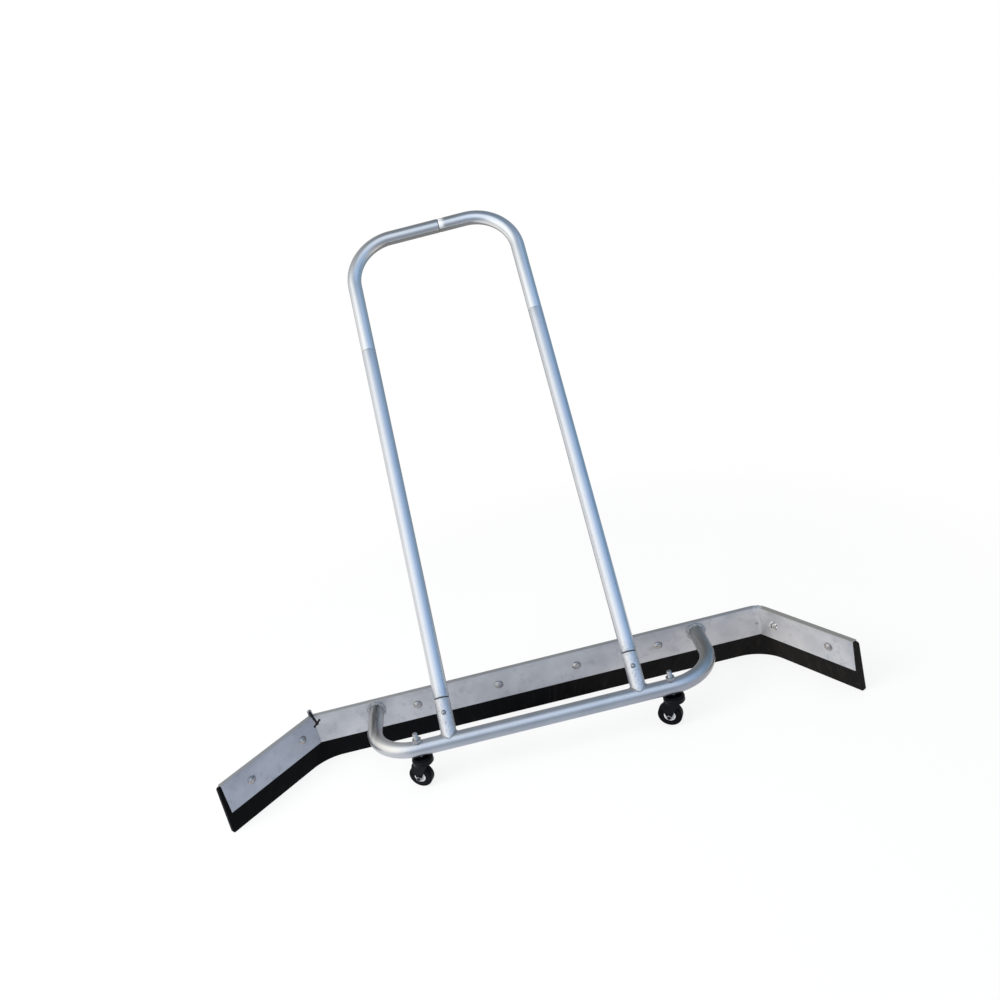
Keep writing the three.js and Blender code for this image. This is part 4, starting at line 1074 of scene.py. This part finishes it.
def makeLegs():
    wallRadii = (base["radius"], base["radius"] - handle["wall"])
    start = handle["stub"] + handle["jointGap"]
    end = start + handle["leg"]
    archTop = end + handle["gap"] + handle["archRise"]
    for name, side in sides.items():
        x = side * handle["halfWidth"]
        points = np.linspace((x, 0, start), (x, 0, end), 24)
        tangents = np.tile([0.0, 0.0, 1.0], (24, 1))
        leg = tubeWall(points, tangents, (0, 1, 0), *wallRadii, handle["legEdge"], 64, handle["legLip"])
        makePiece(name + "_leg_skin", [leg], "leg", root, [name + "_lower_leg"],
                  place=handlePlace)
        meet = handle["topJoint"] + side * handle["topGap"] / 2
        corners = [(x, 0, end + handle["gap"]), (x, 0, archTop), (meet, 0, archTop)]
        points, tangents = roundedPath(corners, handle["bendRadius"], 40)
        bend = tubeWall(points, tangents, (0, 1, 0), *wallRadii, handle["bendEdge"], 64)
        makePiece(name + "_bend_skin", [bend], "bend", root, [name + "_upper_bend"],
                  place=handlePlace)


def makeButtons():
    # Flanged pin with a domed end: radius * sin(a) over dome * cos(a)
    a = np.linspace(pi / 2, 0, 12)
    radius, dome, flange = button["radius"], button["dome"], button["flange"]
    top, foot = base["radius"] + button["proud"], flange - button["flangeThickness"]
    radii = np.concatenate([[0, button["flangeRadius"], button["flangeRadius"], radius], radius * np.sin(a)])
    heights = np.concatenate([[foot, foot, flange, flange], top - dome + dome * np.cos(a)])
    for name, side in sides.items():
        makePiece(name + "_button_skin", [turned(radii, heights, 40)], "zinc",
                  name + "_button_body", [name + "_snap_button"], place=buttonPlace(side))


makeBase()
makeBaseWelds()
makeStubs()
makeLegs()
makeButtons()
print("base tube and handle made")


# Casters

# A nut or race plate is its width or radius, its low and its high end
caster = {"spacing": 0.261, "heading": 156, "trail": 0.0135, "gap": 0.0003, "stem": 0.005, "stemTop": 0.128,
          "pitch": 0.0015, "threadDepth": 0.0006, "headRadius": 0.008, "headHeight": 0.0025,
          "headEdge": 0.0006, "topNut": (0.017, 0.1073, 0.1143), "lowerNut": (0.017, 0.0723, 0.0747),
          "race": (0.019, 0.0698, 0.0720), "raceEdge": 0.0008, "bore": 0.0053}
fork = {"top": 0.0695, "radius": 0.022, "height": 0.0106, "plate": 0.003, "wall": 0.0025, "round": 0.003,
        "innerRound": 0.001, "cheekIn": 0.0103, "cheek": 0.0025, "cheekDrop": 0.0022, "footRadius": 0.0055,
        "topHalf": 0.015, "bow": 0.0012, "flareReach": 0.0272, "flareRise": 0.019, "rearInset": 0.0005,
        "closeShare": 0.995, "edge": 0.0004}
wheel = {"radius": 0.025, "tyreHalf": 0.009, "tyreGap": 0.0003, "tyreRound": 0.0032, "tyreSeat": 0.002,
         "mouldHalf": 0.0003, "mouldRise": 0.00005, "hub": 0.0118, "hubHalf": 0.0095, "dish": 0.0094,
         "dishDepth": 0.0025, "boss": 0.0048, "boreGap": 0.00025, "edge": 0.0004, "slope": 0.0003,
         "ribs": 6, "ribFrom": 0.55, "ribRise": 0.35, "ribShare": 0.75}
axle = {"height": 0.025, "radius": 0.003, "seat": fork["cheekIn"] + fork["cheek"] + caster["gap"],
        "tail": 0.0055, "edge": 0.0004, "headRadius": 0.0052, "headHeight": 0.0024,
        "nutAcross": 0.010, "nutHeight": 0.004}


def roundBar(radius, low, high, edge, count=48, bore=0):
    # Disc or washer with rounded rims, as a closed profile
    a = np.linspace(0, pi / 2, 5)
    rim = [(radius - edge + edge * sin(t), low + edge - edge * cos(t)) for t in a]
    rim += [(radius - edge + edge * cos(t), high - edge + edge * sin(t)) for t in a]
    return turnedProfile([(bore, low), *rim, (bore, high)], count, bore > 0)


def forkCrown():
    # Inverted cup with a generous shoulder
    top, foot, under = fork["top"], fork["top"] - fork["height"], fork["top"] - fork["plate"]
    outer, inner, bore = fork["radius"], fork["radius"] - fork["wall"], caster["bore"]
    soft, tight = fork["round"], fork["innerRound"]
    a = np.linspace(0, pi / 2, 8)
    shoulder = [(outer - soft + soft * cos(t), top - soft + soft * sin(t)) for t in a]
    hollow = [(inner - tight + tight * cos(t), under - tight + tight * sin(t)) for t in a[::-1]]
    profile = [(bore, under), *hollow, (inner, foot), (outer, foot), *shoulder, (bore, top)]
    return turnedProfile(profile, 72, True)


def forkCheek(side):
    # Plate between a slanting front edge and a rear edge that flares out and back in, closed round the axle
    top, foot = fork["top"] - fork["cheekDrop"], fork["top"] - fork["height"]
    height, boss, trail = axle["height"], fork["footRadius"], caster["trail"]
    down = np.linspace(0, 1, 26)
    close = np.linspace(0, pi / 2 * fork["closeShare"], 14)[1:]
    z = np.concatenate([[top], foot + (height - foot) * down, height - boss * np.sin(close)])
    flare = (foot - height - fork["flareRise"]) / (foot - height)
    front = -fork["topHalf"] + (trail - boss + fork["topHalf"]) * down + fork["bow"] * np.sin(pi * down)
    reaches = [fork["radius"] - fork["rearInset"], fork["flareReach"], trail + boss]
    rear = np.interp(down, [0, flare, 1], reaches)
    front = np.concatenate([front[:1], front, trail - boss * np.cos(close)])
    rear = np.concatenate([[fork["topHalf"]], rear, trail + boss * np.cos(close)])
    x = front[:, None] + (rear - front)[:, None] * np.linspace(0, 1, 17)[None, :]
    z = np.broadcast_to(z[:, None], x.shape)
    near, far = fork["cheekIn"], fork["cheekIn"] + fork["cheek"]
    walls = [np.stack([x, np.full_like(x, side * y), z], -1) for y in (near, far)]
    return thickSheet(*walls)


def wheelHub():
    # Turned rim and boss, with ribs that lift the dish's floor where the angle's wave peaks
    count = 96
    angle = np.linspace(0, 2 * pi, count, endpoint=False)
    crest = (np.cos(angle * wheel["ribs"]) - wheel["ribFrom"]) / wheel["ribRise"]
    rib = ease(crest) * wheel["dishDepth"] * wheel["ribShare"]
    bore, boss, dish, hub = axle["radius"] + wheel["boreGap"], wheel["boss"], wheel["dish"], wheel["hub"]
    half, floor = wheel["hubHalf"], wheel["hubHalf"] - wheel["dishDepth"]
    edge, slope = wheel["edge"], wheel["slope"]
    side = [(bore, half), (boss - edge, half), (boss, half - edge), (boss + slope, floor + rib),
            (dish - slope, floor + rib), (dish, half - edge), (dish + edge, half), (hub - slope, half),
            (hub, half - edge)]
    return turnedProfile(side + [(r, -z) for r, z in reversed(side)], count, True)


def wheelTyre():
    # Rounded tread with a fine mould line round its middle
    half, radius, hub = wheel["tyreHalf"], wheel["radius"], wheel["hub"] + wheel["tyreGap"]
    soft, mould, seat = wheel["tyreRound"], wheel["mouldHalf"], hub + wheel["tyreSeat"]
    a = np.linspace(0, pi / 2, 9)
    shoulder = [(radius - soft + soft * sin(t), -half + soft - soft * cos(t)) for t in a]
    line = [(radius, -mould), (radius + wheel["mouldRise"], 0.0), (radius, mould)]
    other = [(r, -z) for r, z in reversed(shoulder)]
    profile = [(hub, -half), (seat, -half), *shoulder, *line, *other, (seat, half), (hub, half)]
    return turnedProfile(profile, 128, True)


def axleBolt():
    # Rod through the hub along its own Z, with a domed head outside the cheek at its +Z end
    seat, radius, edge = axle["seat"], axle["radius"], axle["edge"]
    share = np.linspace(1, 0, 9)
    end = -(seat + axle["tail"])
    radii = np.concatenate([[0, radius - edge, radius, radius], axle["headRadius"] * share])
    dome = seat + axle["headHeight"] * np.sqrt(1 - share ** 2)
    return turned(radii, np.concatenate([[end, end, end + edge, seat], dome]), 40)


def makeCaster(name, side):
    seat = Matrix.Translation((side * caster["spacing"], base["bar"], 0))
    swivel = seat @ Matrix.Rotation(radians(caster["heading"]), 4, "Z")
    axlePlace = swivel @ Matrix.Translation((caster["trail"], 0, axle["height"])) @ faceForward
    headTop = fork["top"] - fork["plate"] - caster["gap"]
    head = roundBar(caster["headRadius"], headTop - caster["headHeight"], headTop, caster["headEdge"])
    stud = threadedRod(caster["stem"], headTop, caster["stemTop"], caster["pitch"], caster["threadDepth"],
                       32, 9)
    makePiece(name + "_stem_skin", [head, stud], "zinc", root, [name + "_caster_stem"],
              place=seat)
    for kind, key, finish, slot in (("top", "topNut", "zinc", "zinc_steel"),
                                    ("lower", "lowerNut", "black", "black_steel")):
        node = f"{name}_caster_{kind}_nut"
        nut = hexNut(*caster[key], caster["stem"])
        makePiece(node + "_skin", [nut], finish, root, [node], place=seat)
    race = roundBar(*caster["race"], caster["raceEdge"], 72, caster["bore"])
    makePiece(name + "_race_skin", [race], "black", root, [name + "_race_plate"], place=seat)
    makePiece(name + "_fork_skin", [forkCrown(), *forkCheek(1), *forkCheek(-1)], "black",
              name + "_caster_body", [name + "_fork"], bevel=fork["edge"], place=swivel)
    makePiece(name + "_axle_skin", [axleBolt()], "black", name + "_caster_body", [name + "_axle"],
              place=axlePlace)
    nut = hexNut(axle["nutAcross"], -axle["seat"] - axle["nutHeight"], -axle["seat"], axle["radius"])
    makePiece(name + "_axle_nut_skin", [nut], "zinc", name + "_caster_body", [name + "_axle_nut"],
              place=axlePlace)
    makePiece(name + "_wheel_skin", [wheelHub()], "nylon", name + "_wheel_body", [name + "_wheel"],
              place=axlePlace)
    makePiece(name + "_tyre_skin", [wheelTyre()], "tyre", name + "_wheel_body", [name + "_tyre"],
              place=axlePlace)


for sideName, side in sides.items():
    makeCaster(sideName, side)
print("casters made")

# CAD nodes that stay: sleeves and springs inside the tubes; the sleeves are painted nearly black as the shade
# in the joint gap
for nodeName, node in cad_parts.items():
    kind = nodeName.rsplit("_", 1)[-1]
    if kind in ("sleeve", "spring"):
        node.data.materials.clear()
        node.data.materials.append(finishes[kind])


# Stage

view = {"aim": (0.0199, -0.1063, 0.5419), "distance": 1.8469, "azimuth": 1.19, "elevation": 22.38,
        "roll": -14.51, "focalPixels": 972, "imagePixels": 1000, "sensor": 36}


def makeCamera():
    azimuth, elevation, roll = (radians(view[key]) for key in ("azimuth", "elevation", "roll"))
    forward = Vector((-sin(azimuth) * cos(elevation), cos(azimuth) * cos(elevation), -sin(elevation)))
    level = Vector((cos(azimuth), sin(azimuth), 0))
    upright = level.cross(forward)
    right = level * cos(roll) + upright * sin(roll)
    up = right.cross(forward)
    camera = bpy.data.objects.new("camera", bpy.data.cameras.new("camera"))
    camera.data.sensor_width = view["sensor"]
    camera.data.lens = view["focalPixels"] / view["imagePixels"] * view["sensor"]
    camera.matrix_world = placing(Vector(view["aim"]) - forward * view["distance"], right, up, -forward)
    bpy.context.scene.collection.objects.link(camera)
    bpy.context.scene.camera = camera


def backdropFactor(start):
    # 1 on the rays that should see the plain white background
    path = start.node("ShaderNodeLightPath")
    camera, glossy, through = (path.output(f"Is {kind} Ray") for kind in ("Camera", "Glossy", "Transmission"))
    return camera.highest(glossy).highest(through)


studio = {"floor": 0.86, "floorSize": 40, "shadowShare": 0.82, "whiteFrom": 0.8, "whiteTo": 1.4,
          "world": 0.76, "worldTint": (0.96, 0.98, 1.0), "floorDrop": 0.0004, "floorRoughness": 0.9}


def makeFloor():
    # Matt white sheet, lifted towards pure white for the rays that see it, and wholly so far away
    reach = np.linspace(-studio["floorSize"], studio["floorSize"], 3)
    x, y = np.meshgrid(reach, reach, indexing="ij")
    mesh = bpy.data.meshes.new("floor")
    points = np.stack([x, y, 0 * x - studio["floorDrop"]], -1).reshape(-1, 3)
    faces = quads(patch(points.reshape(3, 3, 3)))[0]
    mesh.from_pydata(points.tolist(), [], faces.tolist())
    material, shader, at = startMaterial("floor paint")
    shader.inputs["Base Color"].default_value = (studio["floor"],) * 3 + (1,)
    shader.inputs["Roughness"].default_value = studio["floorRoughness"]
    shader.inputs["Specular IOR Level"].default_value = 0.0
    tree = material.node_tree
    glow = at.node("ShaderNodeEmission", {}, {"Color": (1, 1, 1, 1), "Strength": 1.0})
    away = at.node("ShaderNodeVectorMath", {"operation": "LENGTH"}, {0: at}, 1)
    far = away.between(studio["whiteFrom"], studio["whiteTo"])
    share = backdropFactor(at) * (far * (1 - studio["shadowShare"]) + studio["shadowShare"])
    mixed = at.node("ShaderNodeMixShader", {}, {0: share, 1: Wire(tree, shader.outputs[0]), 2: glow})
    tree.links.new(mixed.socket, tree.nodes["Material Output"].inputs["Surface"])
    floor = bpy.data.objects.new("floor", mesh)
    mesh.materials.append(material)
    bpy.context.scene.collection.objects.link(floor)


def makeWorld():
    world = bpy.data.worlds.new("studio")
    bpy.context.scene.world = world
    world.use_nodes = True
    tree = world.node_tree
    background = tree.nodes["Background"]
    start = Wire(tree, background.outputs[0])
    factor = backdropFactor(start)
    tint = [c * studio["world"] for c in studio["worldTint"]]
    colour = factor.mix(tint, (1, 1, 1))
    tree.links.new(colour.socket, background.inputs["Color"])
    background.inputs["Strength"].default_value = 1.0


lampTarget = (0, 0, 0.35)
lamps = {
    "key": {"direction": (-0.70, -0.34, 0.62), "distance": 2.6, "size": 1.7, "power": 42,
            "colour": (1, 0.99, 0.97)},
    "top": {"direction": (-0.05, -0.55, 0.83), "distance": 2.8, "size": 1.5, "power": 13,
            "colour": (0.86, 0.94, 1)},
}


def makeLamps():
    target = Vector(lampTarget)
    for name, lamp in lamps.items():
        light = bpy.data.lights.new(name, "AREA")
        light.shape, light.size = "DISK", lamp["size"]
        light.energy, light.color = lamp["power"], lamp["colour"]
        holder = bpy.data.objects.new(name, light)
        holder.visible_glossy = False
        direction = Vector(lamp["direction"]).normalized()
        holder.matrix_world = (Matrix.Translation(target + direction * lamp["distance"])
                               @ direction.to_track_quat("Z", "Y").to_matrix().to_4x4())
        bpy.context.scene.collection.objects.link(holder)


# Azimuth from the front towards the right, elevation, colour
tent = {"radius": 5, "middle": 0.3, "mat": 0.0002, "focus": 18, "cards": {
    "left": (-103, 12, (0.80, 0.80, 0.81)),
    "key": (-64, 42, (1.13, 1.13, 1.12)),
    "keyFront": (-32, 54, (0.98, 1.04, 1.12)),
    "topFront": (0, 54, (0.74, 0.86, 1.03)),
    "front": (0, 37, (0.66, 0.78, 0.98)),
    "frontLow": (0, 6, (0.35, 0.42, 0.53)),
    "rightFront": (57, 46, (0.38, 0.53, 0.78)),
    "right": (110, 8, (0.19, 0.31, 0.45)),
    "rightBack": (140, 40, (0.22, 0.29, 0.38)),
    "above": (180, 86, (0.17, 0.22, 0.29)),
    "back": (180, 48, (0.155, 0.165, 0.175)),
    "backLow": (180, 16, (0.24, 0.245, 0.25)),
    "leftBack": (-150, 40, (0.45, 0.47, 0.50)),
    "matUnder": (0, -58, (0.49, 0.52, 0.58)),
    "matBelow": (180, -76, (0.08, 0.085, 0.09)),
    "matFront": (0, -36, (0.36, 0.42, 0.50)),
    "matFar": (0, -9, (0.20, 0.21, 0.23)),
    "matLeft": (-70, -40, (0.55, 0.58, 0.65)),
    "matRight": (60, -40, (0.42, 0.44, 0.51)),
    "matBeside": (97, -38, (0.78, 0.74, 0.70)),
    "matFarLeft": (-105, -14, (0.82, 0.81, 0.79)),
    "matBack": (180, -38, (0.22, 0.225, 0.235)),
}}


def tentColour(points):
    # Mean of the cards' colours, each weighted by exp(focus * (cosine of its angle to the point - 1))
    toward = points - [0, 0, tent["middle"]]
    toward /= np.linalg.norm(toward, axis=-1, keepdims=True)
    total, weights = 0, 0
    for azimuth, elevation, colour in tent["cards"].values():
        a, e = radians(azimuth), radians(elevation)
        weight = np.exp(tent["focus"] * (toward @ [sin(a) * cos(e), -cos(a) * cos(e), sin(e)] - 1))[..., None]
        total, weights = total + weight * colour, weights + weight
    return total / weights


def makeTent():
    # Cloth dome and mat round the stage that only reflections see: a half sphere over a flat disc
    rise, reach = np.radians(np.linspace(90, 0, 40)), tent["radius"] * np.linspace(1, 0, 60)[1:] ** 2
    radii = np.concatenate([tent["radius"] * np.cos(rise), reach])
    heights = np.concatenate([tent["radius"] * np.sin(rise), np.full(len(reach), tent["mat"])])
    cloth = turned(radii, heights, 96)
    faces = quads(cloth)[0]
    points = cloth["points"].reshape(-1, 3)
    mesh = bpy.data.meshes.new("tent")
    mesh.from_pydata(points.tolist(), [], faces.tolist())
    shade = mesh.color_attributes.new("cloth", "FLOAT_COLOR", "POINT")
    colours = np.concatenate([tentColour(points), np.ones((len(points), 1))], 1)
    shade.data.foreach_set("color", colours.astype(np.float32).ravel())
    material, _, at = startMaterial("tent cloth")
    glow = at.node("ShaderNodeEmission", {}, {
        "Color": at.node("ShaderNodeAttribute", {"attribute_name": "cloth"}), "Strength": 1.0})
    tree = material.node_tree
    tree.links.new(glow.socket, tree.nodes["Material Output"].inputs["Surface"])
    material.cycles.emission_sampling = "NONE"
    mesh.materials.append(material)
    dome = bpy.data.objects.new("tent", mesh)
    dome.visible_camera = dome.visible_diffuse = dome.visible_shadow = False
    bpy.context.scene.collection.objects.link(dome)


makeCamera()
makeFloor()
makeWorld()
makeLamps()
makeTent()

scene = bpy.context.scene
scene.view_settings.view_transform = "Standard"
print("stage made")
